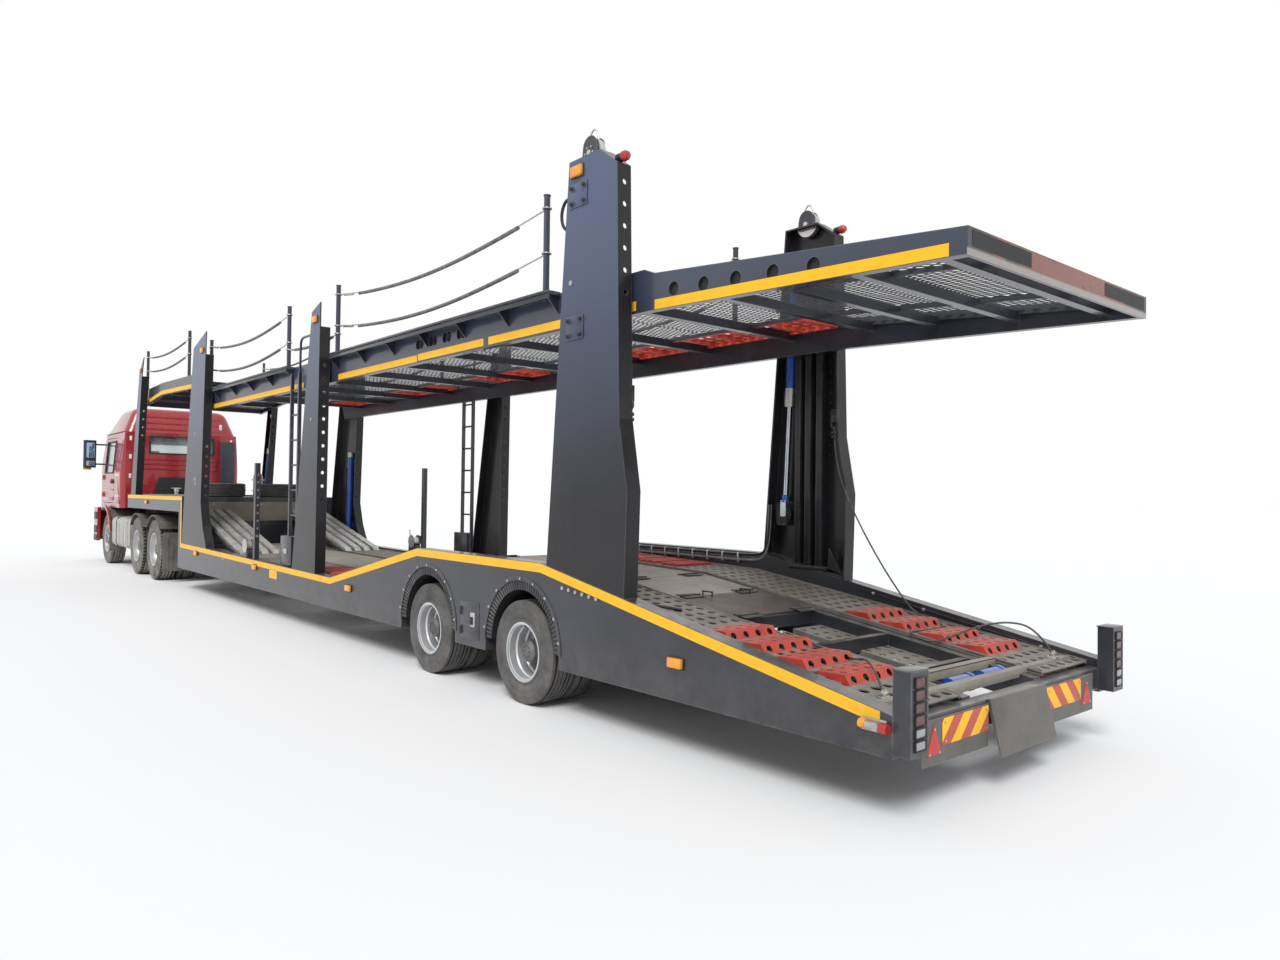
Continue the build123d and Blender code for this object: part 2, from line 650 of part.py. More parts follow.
def front_deck():
    """The short deck over the gooseneck with its floor, then its guard posts."""
    side = side_plate(FRONT_BEAM, UPPER_HALF - BEAM_WIDTH, UPPER_HALF)
    side += cross_rod(*FRONT_PIVOT, PIVOT_PIN, UPPER_HALF - BEAM_WIDTH, HALF_WIDTH - COLUMN_WALL - 10)
    deck = side + mirrored(side)
    deck += strip(FRONT_FLOOR_LINE, FRONT_FLOOR_LINE[0][0], FRONT_FLOOR_LINE[-1][0], 0, FLOOR_PLATE,
                  -UPPER_HALF + BEAM_WIDTH, UPPER_HALF - BEAM_WIDTH)
    for station in FRONT_CROSS:
        top = floor_under(FRONT_FLOOR_LINE, station)
        deck += block(station - CROSS_WIDTH / 2, station + CROSS_WIDTH / 2, -UPPER_HALF + BEAM_WIDTH,
                      UPPER_HALF - BEAM_WIDTH, top - 60, top + FLOOR_PLATE / 2)
    posts = [guard_post(station, FRONT_BEAM[-1][1] - 10, FRONT_GUARD_TOP) for station in FRONT_GUARDS]
    return [deck] + standing(posts, deck)


def upper_floor(y0, y1):
    return strip(FLOOR_LINE, FLOOR_LINE[0][0], FLOOR_LINE[-1][0], 0, FLOOR_PLATE, y0, y1)


def opened(floor, bays, rows, edge):
    """A floor strip with one opening in each bay of each row, an edge left round it."""
    for s0, s1 in bays:
        for y0, y1 in rows:
            floor -= block(s0 + edge, s1 - edge, y0 + edge, y1 - edge, 2700, UPPER_FLOOR + 50)
    return floor


def deck_floor():
    """Centre floor, open between the cross-beams."""
    bays = list(zip(MAIN_CROSS, MAIN_CROSS[1:]))[:-1]
    rows = ((-FLOOR_HALF, 0), (0, FLOOR_HALF))
    return opened(upper_floor(-FLOOR_HALF, FLOOR_HALF), bays, rows, 45)


def deck_tread():
    """Left tread strip, closed under the red treads and open between them."""
    outer = UPPER_HALF - BEAM_WIDTH
    starts = [FLOOR_LINE[0][0]] + [end for start, end in RED_TREADS]
    ends = [start for start, end in RED_TREADS] + [FLOOR_LINE[-1][0]]
    return opened(upper_floor(TREAD_INNER, outer), list(zip(starts, ends)), ((TREAD_INNER, outer),), 45)


# Tractor chassis

def tractor_frame():
    """Two rails, cross-members, the lamp beam and the cab mounts."""
    rail = block(FRAME_REAR, FRAME_FRONT, FRAME_INNER, FRAME_OUTER, FRAME_UNDER, FRAME_TOP)
    for station in (CAB_BACK + 200, CAB_SPLIT + 70):
        rail += block(station - 60, station + 60, FRAME_INNER, FRAME_OUTER, FRAME_TOP, CAB_FLOOR)
    frame = rail + mirrored(rail)
    for station in (FRAME_REAR + 40, KINGPIN, 14300, 16950):
        frame += block(station - 40, station + 40, -FRAME_INNER, FRAME_INNER, FRAME_UNDER + 60,
                       FRAME_TOP - 40)
    frame += block(FRAME_REAR, FRAME_REAR + LAMP_BEAM, -1000, 1000, FRAME_UNDER + 40, FRAME_UNDER + 140)
    return frame


def drive_axle(station):
    """Driven axle: tubes, differential, drums, spindles and spring packs."""
    z = TRACTOR_TYRE_RADIUS
    outer = DUAL_OUTER_FACE - TRACTOR_TYRE_WIDTH / 2
    drum_end = outer - DRIVE_DUAL_SPACING / 2 - 80
    cap = outer + 0.32 * TRACTOR_TYRE_WIDTH
    axle = cross_rod(station, z, 85, -drum_end, drum_end)
    axle += Pos(station, 0, z) * Sphere(190)
    side = cross_rod(station, z, 205, drum_end - 240, drum_end)
    side += cross_rod(station, z, DRIVE_SPINDLE, drum_end, cap - 40)
    side += side_plate([(station - 520, FRAME_UNDER), (station - 110, z + 70), (station + 110, z + 70),
                        (station + 520, FRAME_UNDER)], FRAME_INNER, FRAME_OUTER)
    return axle + side + mirrored(side)


def front_axle():
    """Dropped beam with an eye for each steering pin, and its spring packs."""
    z = TRACTOR_TYRE_RADIUS
    beam = block(FRONT_AXLE - 50, FRONT_AXLE + 50, -STEER_Y, STEER_Y, z - 120, z - 20)
    side = block(FRONT_AXLE - 55, FRONT_AXLE + 55, STEER_Y - 60, STEER_Y + 55, z - 60, z + 60)
    side += side_plate([(FRONT_AXLE - 700, FRAME_UNDER), (FRONT_AXLE - 100, z - 40),
                        (FRONT_AXLE + 100, z - 40),
                        (FRONT_AXLE + 700, FRAME_UNDER)], FRAME_INNER, FRAME_OUTER)
    axle = beam + side + mirrored(side)
    for y in (STEER_Y, -STEER_Y):
        axle -= rod((FRONT_AXLE, y, z - 130), (FRONT_AXLE, y, z + 70), STEER_PIN + RUNNING_FIT)
        low = block(FRONT_AXLE - 60, FRONT_AXLE + 60, y - 90, y + 90, z - 130, z - 60)
        axle -= low
    return axle


def knuckle():
    """Left steering knuckle: pin, fork arms, brake plate and spindle."""
    z = TRACTOR_TYRE_RADIUS
    centre = FRONT_OUTER_FACE - TRACTOR_TYRE_WIDTH / 2
    disc = centre + 0.22 * TRACTOR_TYRE_WIDTH
    pin = rod((FRONT_AXLE, STEER_Y, z - 105), (FRONT_AXLE, STEER_Y, z + 105), STEER_PIN)
    part = pin
    for low in (z - 105, z + 65):
        part += block(FRONT_AXLE - 50, FRONT_AXLE + 50, STEER_Y - 45, STEER_Y + 90, low, low + 40)
    part += cross_rod(FRONT_AXLE, z, 200, STEER_Y + 80, STEER_Y + 110)
    part += cross_rod(FRONT_AXLE, z, FRONT_SPINDLE, STEER_Y + 110, disc + 20)
    return part


def fifth_wheel():
    """Coupling plate with its throat and pin bore, on two pedestals."""
    top = GOOSENECK_UNDER - SEAT_GAP
    plate = block(KINGPIN - 430, KINGPIN + 430, -450, 450, top - 40, top)
    plate = fillet(plate.edges().filter_by(Axis.Z), 200)
    plate -= rod((KINGPIN, 0, top - 50), (KINGPIN, 0, top + 10), KINGPIN_RADIUS + RUNNING_FIT)
    plate -= plan_plate([(KINGPIN - 440, -190), (KINGPIN - 440, 190), (KINGPIN - 90, 40),
                         (KINGPIN - 90, -40)],
                        top - 50, top + 10)
    pedestal = block(KINGPIN - 130, KINGPIN + 130, 280, FRAME_OUTER, FRAME_TOP, top - 40)
    return plate + pedestal + mirrored(pedestal)


def drive_mudguard():
    """Left guard over both driven wheels, bracketed to the frame."""
    z = TRACTOR_TYRE_RADIUS
    inner = 600
    y0, y1 = 600, HALF_WIDTH - 5
    guard = None
    for station in DRIVE_AXLES:
        arch = cross_rod(station, z, inner + 8, y0, y1) - cross_rod(station, z, inner, y0 - 1, y1 + 1)
        arch = arch & block(station - 470, station + 470, y0, y1, z + 370, z + 700)
        guard = arch if guard is None else guard + arch
    bridge_z = z + 378
    bridge = block(DRIVE_AXLES[0] + 460, DRIVE_AXLES[1] - 460, y0, y1, bridge_z, bridge_z + 8)
    bracket = cross_rod(KINGPIN, bridge_z + 4, 22, FRAME_OUTER, y0 + 100)
    return guard + bridge + bracket


def front_fender():
    """Left guard behind and over the steered wheel, up to the cab floor."""
    z = TRACTOR_TYRE_RADIUS
    outer = CAB_FLOOR - z
    y0, y1 = 720, HALF_WIDTH - 10
    ring = cross_rod(FRONT_AXLE, z, outer, y0, y1) - cross_rod(FRONT_AXLE, z, outer - 30, y0 - 1, y1 + 1)
    return ring & block(FRONT_AXLE - 700, FRONT_AXLE + 250, y0, y1, z + 120, z + 700)


def mudflap():
    """Left flap behind the driven wheels, hung from the lamp beam."""
    front = FRAME_REAR + LAMP_BEAM
    return block(front, front + 12, 620, 1000, 300, FRAME_UNDER + 130)


def rounded_bar(x0, x1, y0, y1, z0, z1, corner):
    """A bar along the vehicle with round long edges."""
    bar = block(x0, x1, y0, y1, z0, z1)
    return fillet(bar.edges().filter_by(Axis.X), corner)


def fuel_tank():
    """Ribbed, rounded tank on the left rail, with its two brackets."""
    inner, outer = FRAME_OUTER + 140, HALF_WIDTH - 40
    tank = rounded_bar(TANK_REAR, TANK_FRONT, inner, outer, 420, 1020, 110)
    for step in range(4):
        rib = TANK_REAR + 190 + step * (TANK_FRONT - TANK_REAR - 520) / 3
        tank += rounded_bar(rib, rib + 140, inner - 8, outer + 8, 412, 1028, 112)
    for station in TANK_BRACKETS:
        tank += block(station, station + 90, FRAME_OUTER, inner + 30, FRAME_UNDER, FRAME_TOP - 60)
    return tank


def battery_box():
    """Battery and air box on the right rail."""
    inner, outer = FRAME_OUTER + 140, HALF_WIDTH - 50
    box = rounded_bar(TANK_REAR, TANK_FRONT, -outer, -inner, 450, 1000, 40)
    for station in TANK_BRACKETS:
        box += block(station, station + 90, -inner - 30, -FRAME_OUTER, FRAME_UNDER, FRAME_TOP - 60)
    return box


def engine():
    """Engine block on its two mounts between the rails."""
    motor = block(15300, 16700, -330, 330, 760, 1180)
    for station in (15500, 16400):
        motor += block(station, station + 120, -FRAME_INNER, FRAME_INNER, 820, 920)
    return motor


# Cab

def cab_plan(inset, z0, z1):
    """The cab's outline from above, with round corners, as a prism."""
    length = CAB_FRONT - CAB_BACK - 2 * inset
    outline = Rectangle(length, 2 * (CAB_HALF - inset))
    outline = fillet(outline.vertices().group_by(Axis.X)[-1], 260 - inset)
    outline = fillet(outline.vertices().sort_by(Axis.X)[:2], 110 - inset)
    return Pos((CAB_FRONT + CAB_BACK) / 2, 0, z0) * extrude(outline, z1 - z0)


def cab_form(inset, top):
    """The cab below its roof, shrunk by an inset: plan, side and front outlines meet."""
    rake = (SCREEN_TOP_FRONT - CAB_FRONT) / (CAB_TOP - SCREEN_BASE)
    lean = (CAB_TOP_HALF - CAB_HALF) / (CAB_TOP - BELT_LINE)
    floor = CAB_FLOOR + inset
    screen = SCREEN_TOP_FRONT - inset + rake * (top - CAB_TOP)
    side = side_plate([(CAB_BACK + inset, floor), (CAB_FRONT - inset, floor),
                       (CAB_FRONT - inset, SCREEN_BASE),
                       (screen, top), (CAB_BACK + inset, top)], -CAB_HALF, CAB_HALF)
    half, half_top = CAB_HALF - inset, CAB_HALF - inset + lean * (top - BELT_LINE)
    outline = [(half, floor), (half, BELT_LINE), (half_top, top), (-half_top, top), (-half, BELT_LINE),
               (-half, floor)]
    face = make_face(Polyline(*[(CAB_BACK, y, z) for y, z in outline], close=True))
    front = extrude(face, CAB_FRONT - CAB_BACK, dir=(1, 0, 0))
    return cab_plan(inset, floor, top) & side & front


def cab_walls():
    return cab_form(0, CAB_TOP) - cab_form(CAB_WALL, CAB_TOP + 20)


def glass_layer():
    """A thin skin in the middle of the walls, from which the panes are cut."""
    return cab_form(15, CAB_TOP) - cab_form(21, CAB_TOP + 20)


REAR_WINDOW = block(CAB_BACK - 10, CAB_BACK + 100, -600, 600, 2360, 2690)
WINDSCREEN = block(CAB_SPLIT + 40, CAB_FRONT + 10, 210 - CAB_HALF, CAB_HALF - 210, 1880, 2690)
DOOR_WINDOW = block(DOOR_REAR + 110, DOOR_FRONT - 110, CAB_HALF - 250, CAB_HALF + 10, 1930, 2600)


def door_space(gap):
    return block(DOOR_REAR + gap, DOOR_FRONT - gap, CAB_HALF - 250, CAB_HALF + 10, DOOR_SILL + gap,
                 DOOR_HEAD - gap)


def cab_door(walls):
    """Left door, hinged at its front edge."""
    door = walls & door_space(DOOR_GAP)
    door -= DOOR_WINDOW
    for z in HINGE_HEIGHTS:
        door += block(DOOR_FRONT - 60, DOOR_FRONT - DOOR_GAP - 2, CAB_HALF - 2, HINGE_Y + 6, z, z + 40)
        door += block(DOOR_FRONT - 60, DOOR_FRONT, CAB_HALF + 4, HINGE_Y + 6, z, z + 40)
        door += rod((DOOR_FRONT, HINGE_Y, z), (DOOR_FRONT, HINGE_Y, z + 40), 16)
        door -= rod((DOOR_FRONT, HINGE_Y, z - 1), (DOOR_FRONT, HINGE_Y, z + 41), HINGE_PIN + RUNNING_FIT)
    return door


def hinge_pins():
    """Pins and lugs on the left front pillar that carry the door."""
    pins = None
    for z in HINGE_HEIGHTS:
        pin = rod((DOOR_FRONT, HINGE_Y, z - 30), (DOOR_FRONT, HINGE_Y, z + 70), HINGE_PIN)
        for low in (z - 30, z + 46):
            pin += block(DOOR_FRONT - 8, DOOR_FRONT + 70, CAB_HALF + 2, HINGE_Y + 10, low, low + 24)
            pin += block(DOOR_FRONT + 20, DOOR_FRONT + 70, CAB_HALF - 2, HINGE_Y + 10, low, low + 24)
        pins = pin if pins is None else pins + pin
    return pins


def cab_shell(walls):
    """Back wall, floor, sills and pillars behind the front panel."""
    shell = walls & block(CAB_BACK - 10, CAB_SPLIT, -CAB_HALF - 10, CAB_HALF + 10, CAB_FLOOR, CAB_TOP)
    opening = door_space(0)
    shell -= opening
    shell -= mirrored(opening)
    shell -= REAR_WINDOW
    pins = hinge_pins()
    intake = block(CAB_BACK - INTAKE_DEPTH, CAB_BACK + 20, 120 - CAB_HALF, 420 - CAB_HALF, 1500, 2640)
    return shell + pins + mirrored(pins) + intake


def cab_front(walls):
    """Front panel with the raked windscreen frame."""
    front = walls & block(CAB_SPLIT, CAB_FRONT + 10, -CAB_HALF - 10, CAB_HALF + 10, CAB_FLOOR, CAB_TOP)
    return front - WINDSCREEN


def roof_form(inset, base_z, top_z):
    """A loft of two rounded outlines, wider at its foot."""
    sections = ((base_z, CAB_BACK, SCREEN_TOP_FRONT, CAB_TOP_HALF, 160),
                (top_z, CAB_BACK + 150, SCREEN_TOP_FRONT - 650, CAB_TOP_HALF - 190, 120))
    faces = []
    for z, rear, front, half, corner in sections:
        outline = Rectangle(front - rear - 2 * inset, 2 * (half - inset))
        outline = fillet(outline.vertices(), corner - inset)
        faces.append((Pos((rear + front) / 2, 0, z) * outline).face())
    return loft(faces)


def cab_roof():
    return roof_form(0, CAB_TOP, ROOF_TOP) - roof_form(CAB_WALL, CAB_TOP, ROOF_TOP - CAB_WALL)


def front_bumper():
    """Wrapped bumper on the frame's ends."""
    front = FRONT_END - LAMP_DEPTH
    rear = CAB_FRONT - 350
    half = HALF_WIDTH - 10
    wall = 60
    outline = Rectangle(front - rear, 2 * half)
    outline = fillet(outline.vertices().group_by(Axis.X)[-1], 220)
    inner = Rectangle(front - rear, 2 * (half - wall))
    inner = fillet(inner.vertices().group_by(Axis.X)[-1], 220 - wall)
    centre = (front + rear) / 2
    bumper = Pos(centre, 0, 450) * extrude(outline, 730)
    bumper -= Pos(centre - wall, 0, 440) * extrude(inner, 750)
    arm = block(FRAME_FRONT, front - wall / 2, FRAME_INNER, FRAME_OUTER, FRAME_UNDER + 40, FRAME_TOP - 40)
    return bumper + arm + mirrored(arm)


def grille_slats():
    half = CAB_HALF - 330
    return [block(CAB_FRONT, CAB_FRONT + 40, -half, half, z, z + 45) for z in range(1290, 1700, 95)]


def tractor_lamps():
    """Headlamps in the bumper and tail lamps on the lamp beam."""
    front = FRONT_END - LAMP_DEPTH
    head = block(front, FRONT_END, 690, 1000, 700, 860)
    tail = block(FRAME_REAR - LAMP_DEPTH, FRAME_REAR, 620, 960, FRAME_UNDER + 45, FRAME_UNDER + 135)
    return pair(head) + pair(tail)


def seat():
    """Driver's seat on its pedestal."""
    floor = CAB_FLOOR + CAB_WALL
    back = DOOR_REAR + 80
    base = block(back + 70, back + 470, 330, 770, floor, 1600)
    base += block(back, back + 550, 290, 810, 1600, 1740)
    rest = [(back, 1740), (back + 140, 1740), (back + 20, 2420), (back - 90, 2420)]
    return base + side_plate(rest, 300, 800)


def dashboard():
    """Dash across the cab with the steering column and wheel on the left."""
    floor = CAB_FLOOR + CAB_WALL
    half = CAB_HALF - 150
    rear = CAB_SPLIT - 130
    dash = block(rear, CAB_SPLIT - 10, -half, half, floor, 1780)
    dash += block(rear - 180, rear, -half, half, 1480, 1780)
    column_top_end = (rear - 300, 550, 1900)
    dash += rod((rear - 100, 550, 1650), column_top_end, 25)
    rim = Plane(origin=column_top_end, z_dir=(-200, 0, 250))
    wheel = rim * Torus(220, 16)
    spoke = rim * Box(40, 440, 20)
    return dash + wheel + spoke


def mirror_set(cab):
    """Left mirror head and its two arms on the front pillar."""
    head = block(CAB_SPLIT + 20, CAB_SPLIT + 120, CAB_HALF + 140, CAB_HALF + 380, 2050, 2650)
    head = fillet(head.edges().filter_by(Axis.Z), 40)
    for z in (2130, 2560):
        head += rod((CAB_SPLIT + 60, CAB_HALF - 150, z), (CAB_SPLIT + 60, CAB_HALF + 250, z), 18)
    return head - cab


def parts_table():
    """Every node with its solids."""
    walls = cab_walls()
    cab = cab_form(0, CAB_TOP)
    panes = glass_layer()
    door = cab_door(walls)
    door_pane = panes & DOOR_WINDOW
    mirror_left = mirror_set(cab)
    steer = knuckle()
    table = {
        "side_girders": pair(side_girder()),
        "trailer_frame": [trailer_frame()] + pair(landing_leg()),
        "lower_deck": pair(lower_tracks()) + [centre_cover()],
        "wheel_ramps": [side for s in CHOCK_STATIONS for side in pair(wheel_chock(s))],
        "gooseneck": [gooseneck()],
        "front_columns": pair(front_column()) + pair(pivot_column()) + pair(middle_column()),
        "rear_columns": pair(rear_column()),
        "lift_cylinders": pair(barrel(REAR_LIFT, lift_length(REAR_LIFT), lift_length(REAR_LIFT) - 1350))
        + pair(barrel(FRONT_LIFT, 0, 900)) + pair(barrel(PIVOT_LIFT, 0, 1300)),
        "rear_lift_rods": pair(rear_lift_rod()),
        "front_lift_rods": pair(front_lift_rod()),
        "ladders": pair(ladder()) + pair(bed_post()),
        "spare_wheels": pair(spare_wheel(SPARE_STATION, TRAILER_TYRE_RADIUS + 85)),
        "trailer_axles": [trailer_axle(s) for s in TRAILER_AXLES],
        "tail_boards": tail_boards(),
        "tail_lamps": tail_lamps(),
        "loading_ramps": pair(loading_ramp()),
        "front_deck": front_deck(),
        "main_deck": main_deck(),
        "deck_floor": [deck_floor()],
        "deck_treads": pair(deck_tread()),
        "tractor_frame": [tractor_frame()],
        "tractor_axles": [drive_axle(s) for s in DRIVE_AXLES] + [front_axle()],
        "engine": [engine()],
        "chassis_tanks": [fuel_tank(), battery_box()],
        "fifth_wheel": [fifth_wheel()],
        "mudguards": pair(drive_mudguard()) + pair(front_fender()) + pair(mudflap()),
        "cab_shell": [cab_shell(walls)],
        "cab_roof": [cab_roof()],
        "cab_front": [cab_front(walls)],
        "front_bumper": [front_bumper()] + grille_slats(),
        "cab_glass": [panes & REAR_WINDOW, panes & WINDSCREEN],
        "tractor_lamps": tractor_lamps(),
        "cab_interior": [seat(), mirrored(seat()), dashboard()],
        "mirrors": pair(mirror_left),
        "cab_door_left": [door],
        "cab_door_right": [mirrored(door)],
        "door_glass_left": [door_pane],
        "door_glass_right": [mirrored(door_pane)],
        "knuckle_left": [steer],
        "knuckle_right": [mirrored(steer)],
        "front_tyre_left": [steered_tyre()],
        "front_tyre_right": [mirrored(steered_tyre())],
        "front_rim_left": [steered_rim()],
        "front_rim_right": [mirrored(steered_rim())],
    }
    sets = (("trailer", TRAILER_AXLES, trailer_tyres, trailer_rim),
            ("drive", DRIVE_AXLES, drive_tyres, drive_rim))
    for name, axles, tyres, rim in sets:
        for number, station in enumerate(axles, 1):
            left_tyres, left_rim = tyres(station), rim(station)
            table[f"{name}_tyres_{number}_left"] = left_tyres
            table[f"{name}_tyres_{number}_right"] = [mirrored(tyre) for tyre in left_tyres]
            table[f"{name}_rim_{number}_left"] = [left_rim]
            table[f"{name}_rim_{number}_right"] = [mirrored(left_rim)]
    return table


os.makedirs("parts", exist_ok=True)
for node, shapes in parts_table().items():
    solids = [solid for shape in shapes for solid in shape.solids()]
    export_step(Pos(-MIDDLE, 0, 0) * Compound(solids), f"parts/{node}.step")
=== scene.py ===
from math import cos, pi, radians, sin, tau

import bmesh
import bpy
from mathutils import Matrix, Vector


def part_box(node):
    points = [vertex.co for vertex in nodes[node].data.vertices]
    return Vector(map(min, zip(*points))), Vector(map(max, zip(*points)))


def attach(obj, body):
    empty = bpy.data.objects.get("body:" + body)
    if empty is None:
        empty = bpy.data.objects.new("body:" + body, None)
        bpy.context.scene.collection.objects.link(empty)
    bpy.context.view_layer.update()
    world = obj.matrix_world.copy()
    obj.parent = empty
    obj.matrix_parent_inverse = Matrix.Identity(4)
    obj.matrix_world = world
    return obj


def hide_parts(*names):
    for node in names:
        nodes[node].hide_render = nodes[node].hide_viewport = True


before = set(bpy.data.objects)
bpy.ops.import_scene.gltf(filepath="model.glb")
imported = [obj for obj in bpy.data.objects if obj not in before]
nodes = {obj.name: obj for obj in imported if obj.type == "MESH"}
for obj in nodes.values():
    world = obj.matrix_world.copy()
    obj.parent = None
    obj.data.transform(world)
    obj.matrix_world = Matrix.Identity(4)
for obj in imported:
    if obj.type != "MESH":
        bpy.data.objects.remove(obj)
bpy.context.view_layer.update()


# Studio: a pale floor and soft daylight, brightest from the rear left, with the camera at the
# place and height that the photograph was taken from.
EYE = (-12.634, 4.956, 1.593)
YAW, PITCH, ROLL = radians(40.87), radians(0.97), radians(0.683)
LENS = 24.857

scene = bpy.context.scene
scene.view_settings.view_transform = "Standard"
up = Vector((0, 0, 1))
ahead = Vector((cos(YAW), -sin(YAW), 0))
across = Vector((-sin(YAW), -cos(YAW), 0))
sight = ahead * cos(PITCH) + up * sin(PITCH)
rise = up * cos(PITCH) - ahead * sin(PITCH)
right = across * cos(ROLL) + rise * sin(ROLL)
top = rise * cos(ROLL) - across * sin(ROLL)
lens = bpy.data.cameras.new("photo_camera")
lens.lens = LENS
lens.clip_end = 400
camera = bpy.data.objects.new("photo_camera", lens)
camera.matrix_world = Matrix.Translation(EYE) @ Matrix((right, top, -sight)).transposed().to_4x4()
scene.collection.objects.link(camera)
scene.camera = camera


def add_node(tree, kind, values=None, **settings):
    """A shader node with its settings and the values of its sockets."""
    made = tree.nodes.new(kind)
    for key, value in settings.items():
        setattr(made, key, value)
    for socket, value in (values or {}).items():
        made.inputs[socket].default_value = value
    return made


def join(tree, *wires):
    """Links sockets: from a node's output to another node's input."""
    for source, out_socket, target, in_socket in wires:
        tree.links.new(source.outputs[out_socket], target.inputs[in_socket])


SKY_HIGH, SKY_LOW = (0.93, 0.96, 1.0), (1.0, 1.0, 1.0)
SKY_STRENGTH, SUN_STRENGTH = 0.62, 2.1
SUN_FROM, SUN_SPREAD = (-0.55, 0.62, 0.85), radians(24)
FLOOR_SIZE, FLOOR_TONE = 180, (0.93, 0.93, 0.93, 1)
SHARP_EDGE = radians(35)
world = bpy.data.worlds.new("daylight")
world.use_nodes = True
sky = world.node_tree
place = add_node(sky, "ShaderNodeTexCoord")
split = add_node(sky, "ShaderNodeSeparateXYZ")
height = add_node(sky, "ShaderNodeMapRange", {"From Min": 0.0, "From Max": 0.8})
tint = add_node(sky, "ShaderNodeMix", {"A": (*SKY_LOW, 1), "B": (*SKY_HIGH, 1)}, data_type="RGBA")
seen = add_node(sky, "ShaderNodeLightPath")
straight = add_node(sky, "ShaderNodeMath", operation="MAXIMUM")
either = add_node(sky, "ShaderNodeMath", operation="MAXIMUM")
plain = add_node(sky, "ShaderNodeBackground", {"Color": (1, 1, 1, 1), "Strength": 1.0})
choose = add_node(sky, "ShaderNodeMixShader")
join(sky, (place, "Generated", split, "Vector"), (split, "Z", height, "Value"),
     (height, "Result", tint, "Factor"))
dome = sky.nodes["Background"]
dome.inputs["Strength"].default_value = SKY_STRENGTH
join(sky, (tint, "Result", dome, "Color"), (seen, "Is Camera Ray", straight, 0),
     (seen, "Is Transmission Ray", straight, 1), (straight, "Value", either, 0),
     (seen, "Is Glossy Ray", either, 1), (either, "Value", choose, "Fac"), (dome, "Background", choose, 1),
     (plain, "Background", choose, 2), (choose, "Shader", sky.nodes["World Output"], "Surface"))
scene.world = world

sun = bpy.data.lights.new("soft_sun", "SUN")
sun.energy = SUN_STRENGTH
sun.angle = SUN_SPREAD
sun_lamp = bpy.data.objects.new("soft_sun", sun)
sun_lamp.matrix_world = Vector(SUN_FROM).to_track_quat("Z", "Y").to_matrix().to_4x4()
scene.collection.objects.link(sun_lamp)


def paint_over(finish, base, tones, spread):
    """Blotches of a few tones over a base colour, from a soft noise in object space."""
    tree = finish.node_tree
    space = add_node(tree, "ShaderNodeTexCoord")
    noise = add_node(tree, "ShaderNodeTexNoise",
                     {"Scale": spread, "Detail": 7, "Roughness": 0.62, "W": 0.0}, noise_dimensions="4D")
    ramp = add_node(tree, "ShaderNodeValToRGB")
    stops = ramp.color_ramp.elements
    stops[0].position, stops[0].color = 0.34, (*tones[0], 1)
    stops[1].position, stops[1].color = 0.68, (*tones[1], 1)
    middle = stops.new(0.5)
    middle.color = (*base, 1)
    join(tree, (space, "Object", noise, "Vector"), (noise, "Fac", ramp, "Fac"))
    return space, ramp.outputs["Color"]


